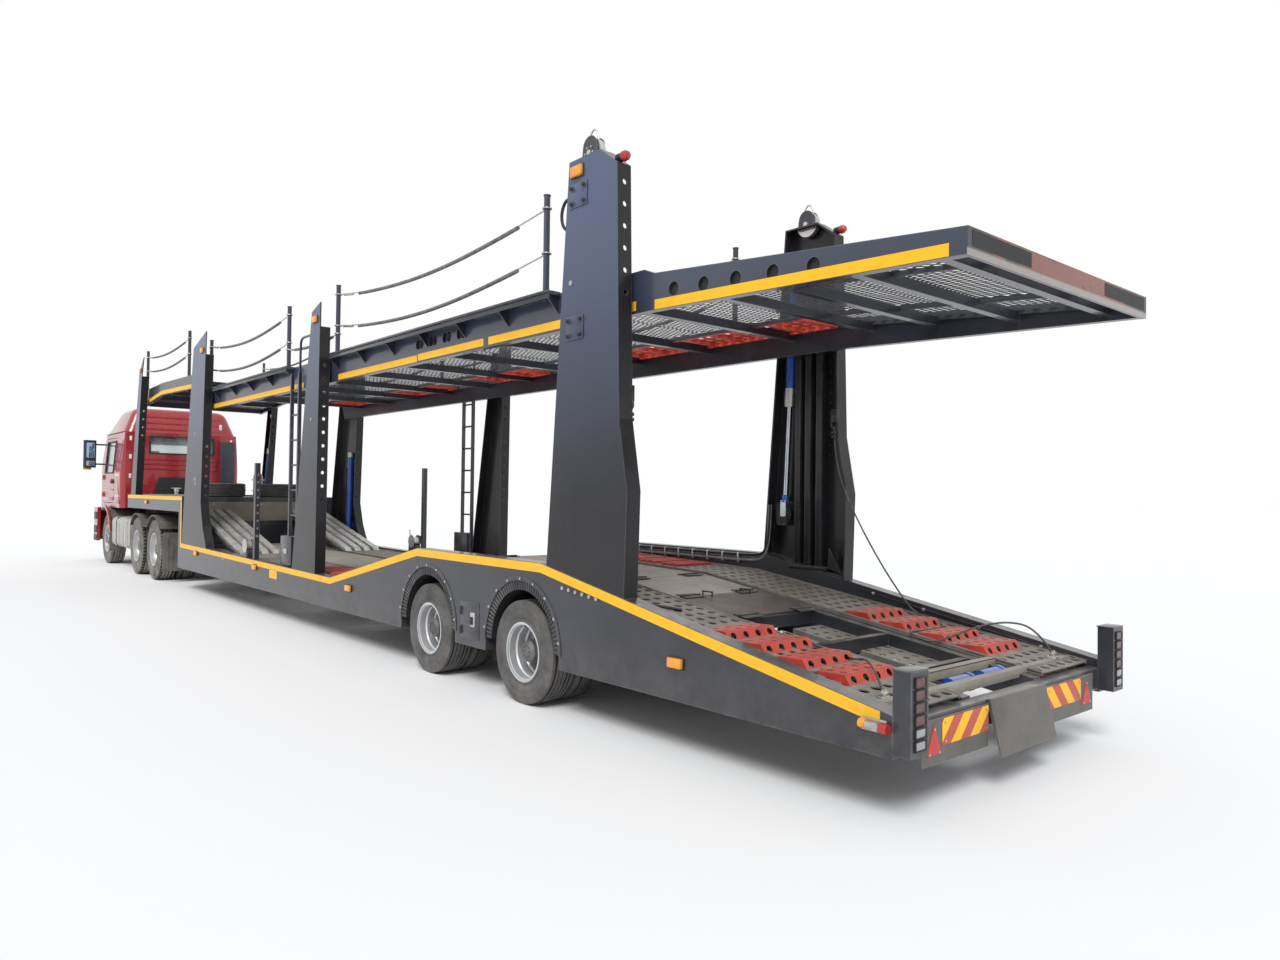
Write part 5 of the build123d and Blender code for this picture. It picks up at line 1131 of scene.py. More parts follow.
bm = bmesh.new()
for y in (TREAD_IN, -TREAD_OUT):
    for run_ends in FLOOR_RUNS:
        for edge in (y, y + TREAD_OUT - TREAD_IN - 0.02):
            add_strip(bm, run_ends, edge, 0.0, 0.03, 0.02, 1)
    for s0, s1 in TREAD_RUNS:
        count = round((s1 - s0) / 0.11)
        sheet = perforated(count, 4, (s1 - s0) / count, (TREAD_OUT - TREAD_IN - 0.05) / 4, 0.034, 0.006, 8)
        run = Vector((s1 - s0, 0, deck_height(s1, FLOOR_RUNS) - deck_height(s0, FLOOR_RUNS)))
        lay(bm, sheet, (at(s0), y + 0.025, deck_height(s0, FLOOR_RUNS)), run, (0, 1, 0), 0)
        for rung in range(count + 1):
            spot = Vector((at(s0), y + 0.02, deck_height(s0, FLOOR_RUNS))) + run * (rung / count)
            if rung % 3 == 0:
                add_box(bm, *off(spot, (-0.017, 0, -0.034), (0.017, TREAD_OUT - TREAD_IN - 0.04, 0.012)),
                        0.004, 0)
        for edge in (y + 0.02, y + TREAD_OUT - TREAD_IN - 0.05):
            start = Vector((at(s0), edge, deck_height(s0, FLOOR_RUNS) - 0.032))
            add_plate(bm, [start, start + run, start + run + Vector((0, 0, 0.036)),
                           start + Vector((0, 0, 0.036))], (0, 0.03, 0), 0)
    gaps = zip([-3.49] + [end for start, end in TREAD_RUNS], [start for start, end in TREAD_RUNS] + [8.9])
    for s0, s1 in gaps:
        cut = [s0] + ([-1.25] if s0 < -1.25 < s1 else []) + [s1]
        for t0, t1 in zip(cut, cut[1:]):
            run = Vector((t1 - t0, 0, deck_height(t1, FLOOR_RUNS) - deck_height(t0, FLOOR_RUNS)))
            sheet = expanded(run.length, TREAD_OUT - TREAD_IN, (0.11, 0.052), 0.004)
            lay(bm, sheet, (at(t0), y, deck_height(t0, FLOOR_RUNS) - 0.003), run, (0, 1, 0), 1)
# The upper deck's red treads use a brighter copy of the tread paint: painted light that lifts them out of
# the deck's shade.
shade_lifted_tread = finish_of("shade_lifted_tread", (0.62, 0.075, 0.045), 0.5, contrast=0.2, spread=7,
                         dust=(0.3, (0.40, 0.17, 0.13)), relief=0.3)
treads = piece("deck_tread_strips", bm, [shade_lifted_tread, EXPANDED], "main_deck")
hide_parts("deck_treads")

MAIN_TAPE = (((-3.42, 2.816), (-1.31, 2.881)), ((-1.12, 2.90), (0.78, 2.90)), ((0.86, 2.90), (2.05, 2.90)),
             ((2.07, 2.893), (3.95, 2.893)), ((5.0, 2.893), (8.75, 2.893)))
FRONT_RUNS = (((9.30, 3.296), (11.95, 3.369)), ((11.97, 3.369), (13.29, 3.263)))
FRONT_TAPE = ((9.3, 3.292), (11.96, 3.362), (13.3, 3.25))
bm = bmesh.new()
for y in (BEAM_OUT, -BEAM_OUT):
    for run in MAIN_TAPE:
        add_tape(bm, run, 0.0, 0.064, y)
piece("deck_tape", bm, [yellow_tape], "main_deck")
bm = bmesh.new()
for y in (BEAM_OUT, -BEAM_OUT):
    add_tape(bm, FRONT_TAPE, 0.0, 0.065, y)
piece("front_deck_tape", bm, [yellow_tape], "front_deck")

bm = bmesh.new()
for (s0, z0), (s1, z1) in FRONT_RUNS:
    run = Vector((s1 - s0, 0, z1 - z0))
    add_track(bm, ((s0, z0), (s1, z1)), TREAD_IN, TREAD_OUT, 5, 0.006, 8, 0.012, 0.03)
    for start in (0.12, 0.62):
        for rung in range(6):
            foot = Vector((at(s0), 0, z0)) + run * (start + 0.12 * rung / run.length)
            for y in (TREAD_IN + 0.04, 0.04 - TREAD_OUT):
                add_box(bm, *off(foot, (0, y, -0.004), (0.035, y + TREAD_OUT - TREAD_IN - 0.08, 0.018)),
                        0.004, 1)
piece("front_deck_tracks", bm, [deck_steel, tread_paint], "front_deck")

BEAM_HOLES = ((-2.61, 2.862), (-2.32, 2.878), (-2.03, 2.894), (-1.76, 2.909), (-1.49, 2.924))
# Black discs at the bottom of the beams' shallow hole recesses and black sleeves round their walls are
# painted shade for the dark seen through the holes and slots. A thin black strip also lies on the rear face
# of the deck.
bm = bmesh.new()
for out in (1, -1):
    for s, z in BEAM_HOLES:
        side_bar(bm, out, (s, 1.069, z), (s, 1.0725, z), 0.0455, 24)
        turned(bm, [(0.0445, 0.0), (0.0459, 0.0), (0.0459, 0.024), (0.0445, 0.024)],
               placed((at(s), out * 1.071, z), -out * pi / 2, "X"), 24)
    for s in (1.2, 1.46, 1.72, 1.98):
        for end in (0.0, 0.07):
            side_bar(bm, out, (s + end, 1.069, 2.99), (s + end, 1.0725, 2.99), 0.0455, 24)
    side_box(bm, out, (-3.5215, 0.46, 2.790), (-3.5185, 1.06, 2.868))
piece("beam_hole_shade", bm, [black_rubber], "main_deck")

# Walkways: punched grip plank on both outer edges of the main deck, carried by small gussets
# welded to the beam.
WALKWAYS = ((-0.25, 3.95), (5.3, 8.4))
WALK_TOP, WALK_EDGE = 3.098, 1.205
bm = bmesh.new()
for out in (1, -1):
    for s0, s1 in WALKWAYS:
        count = round((s1 - s0) / 0.055)
        grip = perforated(count, 2, (s1 - s0) / count, 0.054, 0.015, 0.004, 8)
        lay(bm, grip, (at(s0), min(out * 1.096, out * 1.204), WALK_TOP + 0.005), (1, 0, 0), (0, 1, 0))
        steps = round((s1 - s0) / 0.7)
        for step in range(steps + 1):
            x = at(s0 + 0.02) + (s1 - s0 - 0.04) * step / steps
            add_plate(bm, [(x, out * BEAM_OUT, 3.08), (x, out * 1.20, 3.08), (x, out * 1.20, 3.055),
                           (x, out * BEAM_OUT, 2.94)], (0.008, 0, 0))
        side_box(bm, out, (s0, 1.198, 3.05), (s1, WALK_EDGE, 3.115), 0.002)
piece("walkway_planks", bm, [frame_paint], "main_deck")

# Guard posts and lines: each post has eyes for two lines of wire in a hose sleeve, with a
# turnbuckle near one end.
GUARD_Y = 1.065
GUARD_SPANS = ((-0.01, 4.06, (3.80, 3.45), 0.16), (4.06, 5.61, (3.36,), 0.05),
               (5.61, 9.0, (3.80, 3.45), 0.14))
FRONT_SPAN = (10.28, 13.22, (4.10, 3.84), 0.10)
hose_sleeve = finish_of("hose_sleeve", (0.16, 0.155, 0.15), 0.6, contrast=0.4, spread=14, dust=(0.4, DUST),
                        relief=0.3)


def add_guard_line(bm, s0, s1, z, sag, out):
    """A line from post to post: eyes, sleeve, bare wire at its ends and a turnbuckle."""
    y = out * GUARD_Y
    for s in (s0, s1):
        turned(bm, ring_profile(0.034, 0.006), Matrix.Translation((at(s), y, z)), 20, finish=1)

    def spot(share):
        return (at(s0 + (s1 - s0) * share), y, z - 4 * sag * share * (1 - share))

    near = 0.035 / (s1 - s0)
    add_tube(bm, [spot(near), spot(0.25), spot(0.5), spot(0.75), spot(1 - near)], 0.006, 1)
    add_tube(bm, [spot(0.10), spot(0.27), spot(0.5), spot(0.73), spot(0.86)], 0.017, 0)
    add_bar(bm, spot(0.90), spot(0.96), 0.014, 8, 1)


bm = bmesh.new()
for out in (1, -1):
    for s0, s1, heights, sag in GUARD_SPANS:
        for z in heights:
            add_guard_line(bm, s0, s1, z, sag, out)
    for s in (-0.01, 4.06, 5.61, 9.0):
        side_bar(bm, out, (s, GUARD_Y, 3.898), (s, GUARD_Y, 3.906), 0.03, 16, 2)
        side_bar(bm, out, (s, GUARD_Y, 3.101), (s, GUARD_Y, 3.125), 0.036, 16, 2)
piece("guard_lines", bm, [hose_sleeve, bare_steel, frame_paint], "main_deck")
bm = bmesh.new()
for out in (1, -1):
    s0, s1, heights, sag = FRONT_SPAN
    for z in heights:
        add_guard_line(bm, s0, s1, z, sag, out)
piece("front_guard_lines", bm, [hose_sleeve, bare_steel], "front_deck")


# Wheels: grooved tyres with dusty sidewalls on silver rims. The dish of each rim is stepped, and a
# ring of nuts holds it round a grey iron hub.
FRONT_AXLE, DRIVE_AXLES = 16.19, (11.74, 13.09)
GROOVE_WIDE, GROOVE_DEEP = 0.052, 0.013
GROOVE_ZONE, GROOVE_FLOOR, GROOVE_BRIM = 0.41, 0.026, 0.0085
TRAILER_WHEEL = {"size": TRAILER_TYRE, "ribs": 6, "blocks": False, "middle": 1.1175, "spacing": 0.26,
                 "face": 0.9995, "nuts": 0.112, "hub": (0.102, 0.083, 0.058), "cap": 1.194}
DRIVE_WHEEL = {"size": TRACTOR_TYRE, "ribs": 5, "blocks": True, "middle": 1.085, "spacing": 0.345,
               "face": 0.9245, "nuts": 0.147, "hub": (0.132, 0.113, 0.088), "cap": 1.1825}
FRONT_WHEEL = {"size": TRACTOR_TYRE, "ribs": 5, "blocks": False, "middle": 1.025, "spacing": 0.0,
               "face": 1.103, "nuts": 0.142, "hub": (0.1215, 0.1115, 0.092), "cap": 1.1765}
WHEELS = [(f"trailer_wheel_{n}", f"trailer_tyres_{n}", f"trailer_rim_{n}", s, TRAILER_WHEEL)
          for n, s in enumerate(AXLES, 1)]
WHEELS += [(f"drive_wheel_{n}", f"drive_tyres_{n}", f"drive_rim_{n}", s, DRIVE_WHEEL)
           for n, s in enumerate(DRIVE_AXLES, 1)]
WHEELS += [("front_wheel", "front_tyre", "front_rim", FRONT_AXLE, FRONT_WHEEL)]
dusty_rubber = finish_of("dusty_rubber", (0.10, 0.094, 0.085), 0.8, contrast=0.35, spread=6,
                         dust=(0.55, DUST), grime=(-0.4, 1.6, 0.95, (0.34, 0.315, 0.28)), relief=0.35,
                         grain=110)
hub_iron = finish_of("hub_iron", (0.15, 0.148, 0.145), 0.45, metal=0.5, contrast=0.4, spread=8,
                     dust=(0.4, DUST), relief=0.3)


def cut_blocks(bm, verts, centre, radius, width):
    """Cuts the outer ribs of a tread into blocks."""
    notches = []
    for face in {face for vert in verts for face in vert.link_faces}:
        spot = face.calc_center_median() - centre
        turn = (Vector((spot.x, spot.z)).angle_signed(Vector((1, 0))) / tau) % 1
        far = Vector((spot.x, spot.z)).length > radius - 0.012
        flat = abs(face.normal.y) < 0.3
        if far and flat and abs(spot.y) > 0.2 * width and int(turn * 96) % 2 == 0:
            notches.append(face)
    bmesh.ops.inset_individual(bm, faces=notches, thickness=0.001, depth=-0.014)


for name, tyre_node, rim_node, station, wheel in WHEELS:
    radius, width, bead = wheel["size"]
    for side, out in (("left", 1), ("right", -1)):
        bm = bmesh.new()
        centres = [wheel["middle"]] + ([wheel["middle"] - wheel["spacing"]] if wheel["spacing"] else [])
        for y in centres:
            centre = Vector((at(station), out * y, radius))
            place = placed(centre, pi / 2, "X")
            old = set(bm.verts)
            turned(bm, tyre_section(radius, width, bead, wheel["ribs"], width * GROOVE_WIDE, GROOVE_DEEP),
                   place, 96)
            if wheel["blocks"]:
                fresh = [vert for vert in bm.verts if vert not in old]
                bmesh.ops.recalc_face_normals(bm, faces=bm.faces)
                cut_blocks(bm, fresh, centre, radius, width)
            # The groove faces get the darker black rubber: painted shade in the tread grooves.
            for patch in bm.faces:
                spot = patch.calc_center_median() - centre
                far = Vector((spot.x, spot.z)).length
                if abs(spot.y) < GROOVE_ZONE * width and radius - GROOVE_FLOOR < far < radius - GROOVE_BRIM:
                    patch.material_index = 1
        body = f"{name}_{side}"
        rubber = tyre_rubber if wheel is TRAILER_WHEEL else dusty_rubber
        tyres = piece(f"{tyre_node}_{side}_tread", bm, [rubber, black_rubber], body)
        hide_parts(f"{tyre_node}_{side}")
        dress(rim_steel, f"{rim_node}_{side}")

        bm = bmesh.new()
        middle, face, cap = wheel["middle"], wheel["face"], wheel["cap"]
        well = bead - 0.0144
        lip = middle + 0.43 * width
        levels = [lip + (face + 0.001 - lip) * share for share in (0.0, 0.28, 0.33, 0.62, 0.68, 1.0)]
        dish = [(well, levels[0]), (well - 0.006, levels[0] - 0.004), (well - 0.006, levels[1]),
                (well - 0.016, levels[2]), (well - 0.016, levels[3]), (well - 0.026, levels[4]),
                (well - 0.026, levels[5]), (well, levels[5])]
        turn_in = placed((at(station), 0, radius), -out * pi / 2, "X")
        turned(bm, dish, turn_in, 72)
        edge = lip + 0.010
        bead_ring = [(bead + 0.003, edge - 0.002), (bead + 0.005, edge + 0.003),
                     (bead + 0.014, edge + 0.004), (bead + 0.024, edge - 0.004),
                     (bead + 0.024, edge - 0.012), (bead + 0.003, edge - 0.012)]
        turned(bm, bead_ring, turn_in, 72, finish=4)
        behind = face - 0.027
        turned(bm, [(wheel["nuts"], behind), (well - 0.004, behind), (well - 0.004, behind - 0.003),
                    (wheel["nuts"], behind - 0.003)], turn_in, 48, finish=3)
        broad, neck, crown_radius = wheel["hub"]
        hub = [(broad, face - 0.004), (broad, face + 0.006), (neck, cap - 0.021), (crown_radius, cap),
               (0.0, cap)]
        turned(bm, hub, turn_in, 40, closed=False, finish=1)
        nut = ((face - 0.002, face + 0.02, 0.0125, 6), (face + 0.02, face + 0.032, 0.008, 10))
        bolt = ((cap - 0.002, cap + 0.005, 0.006, 6),)
        for count, shift, ring, bars in ((10, 0.5, wheel["nuts"], nut), (8, 0.0, crown_radius * 0.75, bolt)):
            for step in range(count):
                turn = tau * (step + shift) / count
                x, z = at(station) + ring * cos(turn), radius + ring * sin(turn)
                for near, far, thick, sides in bars:
                    add_bar(bm, (x, out * near, z), (x, out * far, z), thick, sides, 2)
        side_bar(bm, out, (station, lip - 0.05, radius + well - 0.01),
                 (station, lip - 0.005, radius + well - 0.016), 0.006, 8, 3)
        piece(f"{rim_node}_{side}_fittings", bm, [rim_steel, hub_iron, axle_iron, black_rubber, rubber],
              body)


# Tractor chassis: dark rails with pipes and bolts, a strapped light tank on the left, the battery box
# on the right, two air bottles between the rails and grey arches over the driven wheels.
chassis_paint = finish_of("chassis_paint", (0.026, 0.026, 0.028), 0.5, contrast=0.3, dust=(0.6, DUST),
                          grime=(0.3, 1.1, 0.4, EARTH), relief=0.2)
tank_metal = finish_of("tank_metal", (0.46, 0.45, 0.42), 0.45, metal=0.3, contrast=0.2, spread=5,
                       dust=(0.5, DUST), grime=(0.35, 0.95, 0.5, DUST), relief=0.15)
guard_plastic = finish_of("guard_plastic", (0.085, 0.083, 0.08), 0.55, contrast=0.3, spread=5,
                          dust=(0.7, DUST), grime=(0.3, 1.2, 0.55, (0.22, 0.2, 0.17)), relief=0.2)
engine_iron = finish_of("engine_iron", (0.09, 0.10, 0.11), 0.5, metal=0.4, contrast=0.4, dust=(0.5, DUST),
                        relief=0.3)
grease = finish_of("grease", (0.02, 0.018, 0.016), 0.3, contrast=0.5, spread=9, dust=(0.3, EARTH),
                   relief=0.4)
dress(chassis_paint, "tractor_frame")
dress(tank_metal, "chassis_tanks")
dress(guard_plastic, "mudguards")
dress(engine_iron, "engine")
dress(grease, "fifth_wheel")

bm = bmesh.new()
for s in (14.12, 15.06):
    add_box(bm, (at(s), 0.556, 0.404), (at(s) + 0.05, 1.222, 1.036), 0.11, 0)
add_bar(bm, (at(14.62), 0.93, 1.02), (at(14.62), 0.93, 1.05), 0.052, 24, 1)
add_bar(bm, (at(14.62), 0.93, 1.05), (at(14.62), 0.93, 1.064), 0.045, 24, 1)
add_box(bm, (at(13.755), -1.206, 0.86), (at(15.445), -0.565, 1.008), 0.03, 2)
for s in (13.95, 14.55, 15.15):
    add_box(bm, (at(s), -1.215, 0.80), (at(s) + 0.06, -1.20, 0.90), 0.004, 1)
for s in (14.03, 14.63):
    add_box(bm, (at(s) - 0.26, -1.207, 0.48), (at(s) + 0.26, -1.199, 0.78), 0.012, 2)
piece("tank_straps", bm, [bare_steel, black_rubber, guard_plastic], "tractor")

bm = bmesh.new()
for out in (1, -1):
    for z in (0.80, 0.90):
        side_bar(bm, out, (11.05, 0.435, z), (16.6, 0.435, z), 0.011, 8, 1)
    for step in range(14):
        s = 11.1 + 0.36 * step
        for z in (0.76, 0.96):
            side_bar(bm, out, (s, 0.429, z), (s, 0.441, z), 0.014, 6, 2)
    for s in (11.16, 12.30, 13.64):
        side_box(bm, out, (s - 0.02, 0.62, 0.892), (s + 0.02, 0.98, 0.902), 0.002, 0)
add_box(bm, (at(10.96), -0.50, 0.88), (at(11.04), 0.50, 0.94), 0.006, 0)
for y in (0.22, 0.30, -0.30):
    add_bar(bm, (at(10.955), y, 0.91), (at(10.925), y, 0.91), 0.025, 16, 2)
for y in (0.17, -0.17):
    add_bar(bm, (at(13.75), y, 0.62), (at(14.75), y, 0.62), 0.13, 28, 3)
    for end in (13.75, 14.72):
        add_bar(bm, (at(end), y, 0.62), (at(end) + 0.03, y, 0.62), 0.134, 28, 2)
    for s in (14.0, 14.5):
        add_box(bm, (at(s), y - 0.02, 0.62), (at(s) + 0.05, y + 0.02, 0.79), 0.004, 0)
piece("chassis_lines", bm, [chassis_paint, black_rubber, axle_iron, chassis_paint], "tractor")

# Tractor lamps: red and amber rear clusters in black frames, and double headlamps with chrome bowls
# at the front.
mirror_glass = finish_of("mirror_glass", (0.30, 0.42, 0.58), 0.05, metal=1.0, contrast=0.15, spread=3,
                         relief=0.02)
chrome = finish_of("chrome", (0.8, 0.8, 0.82), 0.1, metal=1.0, contrast=0.04, relief=0.02)
REAR_LAMP, NOSE = 10.95, 17.485
bm = bmesh.new()
for out in (1, -1):
    for step in range(4):
        side_box(bm, out, (REAR_LAMP - 0.014, 0.626 + 0.084 * step, 0.770),
                 (REAR_LAMP, 0.702 + 0.084 * step, 0.850), 0.006, (0, 0, 1, 2)[step])
    side_box(bm, out, (REAR_LAMP - 0.006, 0.62, 0.765), (REAR_LAMP + 0.001, 0.96, 0.855), 0.003, 3)
    side_box(bm, out, (NOSE - 0.003, 0.69, 0.70), (NOSE + 0.0015, 1.0, 0.86), 0.002, 3)
    for y, bowl in ((0.775, 0.062), (0.915, 0.062)):
        turned(bm, ((bowl, 0.011), (bowl * 0.9, 0.011), (bowl * 0.8, 0.006), (bowl * 0.4, 0.003),
                    (0.0, 0.002), (bowl, 0.002)), placed((at(NOSE), out * y, 0.78), pi / 2, "Y"), 32,
               closed=False, finish=4)
        turned(bm, ((0.0, 0.010), (0.012, 0.009), (0.018, 0.003)),
               placed((at(NOSE), out * y, 0.78), pi / 2, "Y"), 16, closed=False, finish=2)
    side_box(bm, out, (NOSE, 0.985, 0.71), (NOSE + 0.012, 0.999, 0.85), 0.003, 1)
lamps = piece("tractor_lamp_sets", bm, [red_lens, amber_lens, clear_lens, black_rubber, chrome], "tractor")
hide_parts("tractor_lamps")


# Cab: a red sleeper cab with a high roof. The back wall has pressed ridges round the window, a
# black well with the air valve at its foot, white reflecting dashes and the dark intake box.
CAB_REAR, CAB_SIDE, CAB_NOSE = 15.05, 1.15, 17.25
ROOF_JOINT, ROOF_TOP = 2.78, 3.3
white_reflector = finish_of("white_reflector", (0.78, 0.78, 0.76), 0.4, contrast=0.05, spread=9, relief=0.2,
                            grain=420)
black_plastic = finish_of("black_plastic", (0.022, 0.022, 0.025), 0.45, contrast=0.25, dust=(0.4, DUST),
                          relief=0.15)
intake_plastic = finish_of("intake_plastic", (0.028, 0.034, 0.05), 0.42, contrast=0.3, spread=3, relief=0.15)
seat_fabric = finish_of("seat_fabric", (0.07, 0.068, 0.07), 0.85, contrast=0.3, spread=12, relief=0.5,
                        grain=300)
glass = finish_of("glass", (0.82, 0.88, 0.88), 0.05, contrast=0.02, relief=0.0)
tune(glass, "Transmission Weight", 0.9)
dress(cab_paint, "cab_shell", "cab_front", "cab_door_left", "cab_door_right", "front_bumper")
dress(seat_fabric, "cab_interior")
dress(glass, "cab_glass", "door_glass_left", "door_glass_right")
dress(black_plastic, "mirrors")


def roof_ring(z, rear, front, half, corner):
    """The roof's outline at a height, with round corners."""
    points = []
    middles = ((front - corner, half - corner), (rear + corner, half - corner),
               (rear + corner, corner - half), (front - corner, corner - half))
    for quarter, (s, y) in enumerate(middles):
        for step in range(9):
            angle = radians(90 * quarter + 11.25 * step)
            points.append(Vector((at(s) + corner * cos(angle), y + corner * sin(angle), z)))
    return points


def roof_skin(bm, inset):
    """The roof's slopes and its soft crown, shrunk by an inset; gives back the foot's vertices."""
    foot = roof_ring(ROOF_JOINT, CAB_REAR + inset, 16.90 - inset, 1.08 - inset, 0.16 - inset)
    edge = roof_ring(ROOF_TOP - inset, 15.20 + inset, 16.25 - inset, 0.89 - inset, 0.16 - inset)
    crown = roof_ring(ROOF_TOP - inset, 15.35 + inset, 16.05 - inset, 0.73 - inset, 0.08)
    rings = [foot]
    for step in range(8):
        far = step / 7
        rings.append([low.lerp(top, 0.72).lerp(top, far).lerp(top.lerp(flat, far), far)
                      for low, top, flat in zip(foot, edge, crown)])
    rows = [[bm.verts.new(point) for point in ring] for ring in rings]
    for lower, upper in zip(rows, rows[1:]):
        for k in range(len(lower)):
            bm.faces.new((lower[k - 1], lower[k], upper[k], upper[k - 1]))
    bm.faces.new(rows[-1])
    return rows[0]


bm = bmesh.new()
outer = roof_skin(bm, 0.0)
inner = roof_skin(bm, 0.045)
for k in range(len(outer)):
    bm.faces.new((outer[k - 1], outer[k], inner[k], inner[k - 1]))
piece("roof_shell", bm, [cab_paint], "tractor", replaces=("cab_roof",))

bm = bmesh.new()
rear = at(CAB_REAR)
for y0, y1, z0, z1 in ((-0.64, 0.64, 2.33, 2.36), (-0.64, 0.64, 2.69, 2.72), (-0.64, -0.60, 2.36, 2.69),
                       (0.60, 0.64, 2.36, 2.69)):
    add_box(bm, (rear - 0.012, y0, z0), (rear + 0.03, y1, z1), 0.006, 1)
for z in (2.02, 2.12, 2.22):
    add_box(bm, (rear - 0.009, -0.70, z - 0.022), (rear + 0.004, 0.95, z + 0.022), 0.008, 0)
for step in range(3):
    z = 2.86 + 0.13 * step
    x = rear + 0.15 * (z - ROOF_JOINT) / (ROOF_TOP - ROOF_JOINT)
    half = 0.86 - 0.04 * step
    add_box(bm, (x - 0.012, -half, z - 0.03), (x + 0.02, half, z + 0.03), 0.009, 0)
for out in (1, -1):
    ridge = [(rear, out * 0.66, 1.24), (rear, out * 0.62, 1.24), (rear, out * 0.46, 1.86),
             (rear, out * 0.50, 1.90)]
    add_plate(bm, ridge, (-0.012, 0, 0), 0)
    for z in (1.82, 2.22, 2.60):
        add_box(bm, (rear - 0.003, out * 0.955, z), (rear + 0.002, out * 1.0, z + 0.09), 0.001, 2)
add_plate(bm, [(rear, -0.46, 1.86), (rear, 0.46, 1.86), (rear, 0.50, 1.90), (rear, -0.50, 1.90)],
          (-0.012, 0, 0), 0)
for out in (1, -1):
    add_box(bm, (rear + 0.028, out * 0.74, 2.90), (rear + 0.05, out * 0.79, 3.02), 0.001, 2)
add_plate(bm, [(rear, -0.60, 1.24), (rear, 0.60, 1.24), (rear, 0.44, 1.84), (rear, -0.44, 1.84)],
          (-0.004, 0, 0), 1)
add_box(bm, (rear - 0.134, -1.034, 1.494), (rear - 0.001, -0.726, 2.646), 0.022, 3)
for z in (1.62, 2.46):
    add_bar(bm, (rear - 0.133, -0.88, z), (rear - 0.139, -0.88, z), 0.014, 12, 1)
for step in range(9):
    z = 1.80 + 0.055 * step
    add_box(bm, (rear - 0.12, -1.0375, z), (rear - 0.02, -1.03, z + 0.025), 0.003, 1)
piece("cab_back", bm, [cab_paint, black_plastic, white_reflector, intake_plastic], "tractor")

bm = bmesh.new()
valve = Vector((rear - 0.07, 0.12, 1.50))
turned(bm, ((0.0, 0.13), (0.035, 0.13), (0.05, 0.115), (0.05, 0.04), (0.036, 0.03), (0.036, -0.06),
            (0.05, -0.07), (0.05, -0.12), (0.0, -0.12)), Matrix.Translation(valve), 24, closed=False)
add_box(bm, *off(valve, (-0.02, -0.09, 0.10), (0.068, 0.09, 0.13)), 0.005)
for y in (0.30, -0.06):
    add_tube(bm, [valve + Vector((0, 0, -0.05)), (rear - 0.06, y * 0.7 + 0.03, 1.47), (rear - 0.03, y, 1.34),
                  (rear - 0.02, y, 1.25)], 0.011, 1)
for number, y in enumerate((-0.30, -0.22, -0.14)):
    add_bar(bm, (rear - 0.006, y, 1.66), (rear - 0.05, y, 1.65), 0.024, 16, 2 + number % 2)
piece("air_valve", bm, [bare_steel, black_rubber, red_reflector, yellow_tape], "tractor")

# Cab sides: handles, window seals, trim strips, reflectors, arch trims and mud flaps, and the mirror
# heads with a blue reflection and a side lamp under them.
BELT, CAB_LEAN = 1.9, 0.07 / 0.88


def flank(out, z, lift=0.0):
    """How far out the cab's side lies at a height; it leans inwards above the belt line."""
    return out * (CAB_SIDE + lift - max(0.0, z - BELT) * CAB_LEAN)


bm = bmesh.new()
for out in (1, -1):
    for s in (15.2, 15.42):
        for z in (1.42, 1.86):
            add_box(bm, (at(s), flank(out, z), z), (at(s) + 0.12, flank(out, z) + out * 0.004, z + 0.05),
                    0.001, 2)
    add_tube(bm, [(at(15.16), flank(out, 2.6), 2.60), (at(15.30), flank(out, 2.2) + out * 0.004, 2.2),
                  (at(15.30), flank(out, 1.6) + out * 0.004, 1.6),
                  (at(15.16), flank(out, 1.3) + out * 0.002, 1.3)], 0.008, 0)
    for z in (1.30, 1.345):
        add_box(bm, (at(15.10), flank(out, z), z - 0.012),
                (at(15.68), flank(out, z) + out * 0.012, z + 0.012), 0.005, 0)
    side_box(bm, out, (15.16, 1.078, 2.768), (16.86, 1.096, 2.786), 0.004, 1)
piece("cab_flanks", bm, [cab_paint, black_plastic, white_reflector], "tractor")

for side, out in (("left", 1), ("right", -1)):
    bm = bmesh.new()
    window = [(15.81, 1.93), (16.65, 1.93), (16.65, 2.60), (15.81, 2.60)]
    for (s0, z0), (s1, z1) in zip(window, window[1:] + window[:1]):
        add_bar(bm, (at(s0), flank(out, z0, 0.001), z0), (at(s1), flank(out, z1, 0.001), z1), 0.017, 8, 1)
    side_box(bm, out, (15.77, 1.15, 1.72), (15.97, 1.185, 1.765), 0.012, 1)
    side_box(bm, out, (15.76, 1.149, 1.70), (15.98, 1.153, 1.80), 0.012, 1)
    side_bar(bm, out, (16.02, 1.149, 1.73), (16.02, 1.157, 1.73), 0.016, 16, 2)
    y0, y1 = out * 1.148, out * 1.162
    add_box(bm, (at(15.73), y0, 1.345), (at(16.73), y1, 1.42), 0.006, 0)
    add_box(bm, (at(15.73), y0, 1.56), (at(16.73), y1, 1.585), 0.006, 0)
    add_box(bm, (at(16.42), y0, 1.47), (at(16.54), y1, 1.51), 0.006, 3)
    piece(f"door_trim_{side}", bm, [cab_paint, black_plastic, bare_steel, amber_lens], f"door_{side}")


def add_arc_band(bm, station, z, y0, y1, inner, outer, start, end, finish=0):
    """A curved band about a wheel: a slice of a ring between two angles."""
    old = set(bm.verts)
    corners = [bm.verts.new((at(station) + r * cos(start), y, z + r * sin(start)))
               for r, y in ((inner, y0), (outer, y0), (outer, y1), (inner, y1))]
    bmesh.ops.spin(bm, geom=[bm.faces.new(corners)], cent=(at(station), 0, z), axis=(0, -1, 0),
                   angle=end - start, steps=24)
    set_finish([vert for vert in bm.verts if vert not in old], finish)


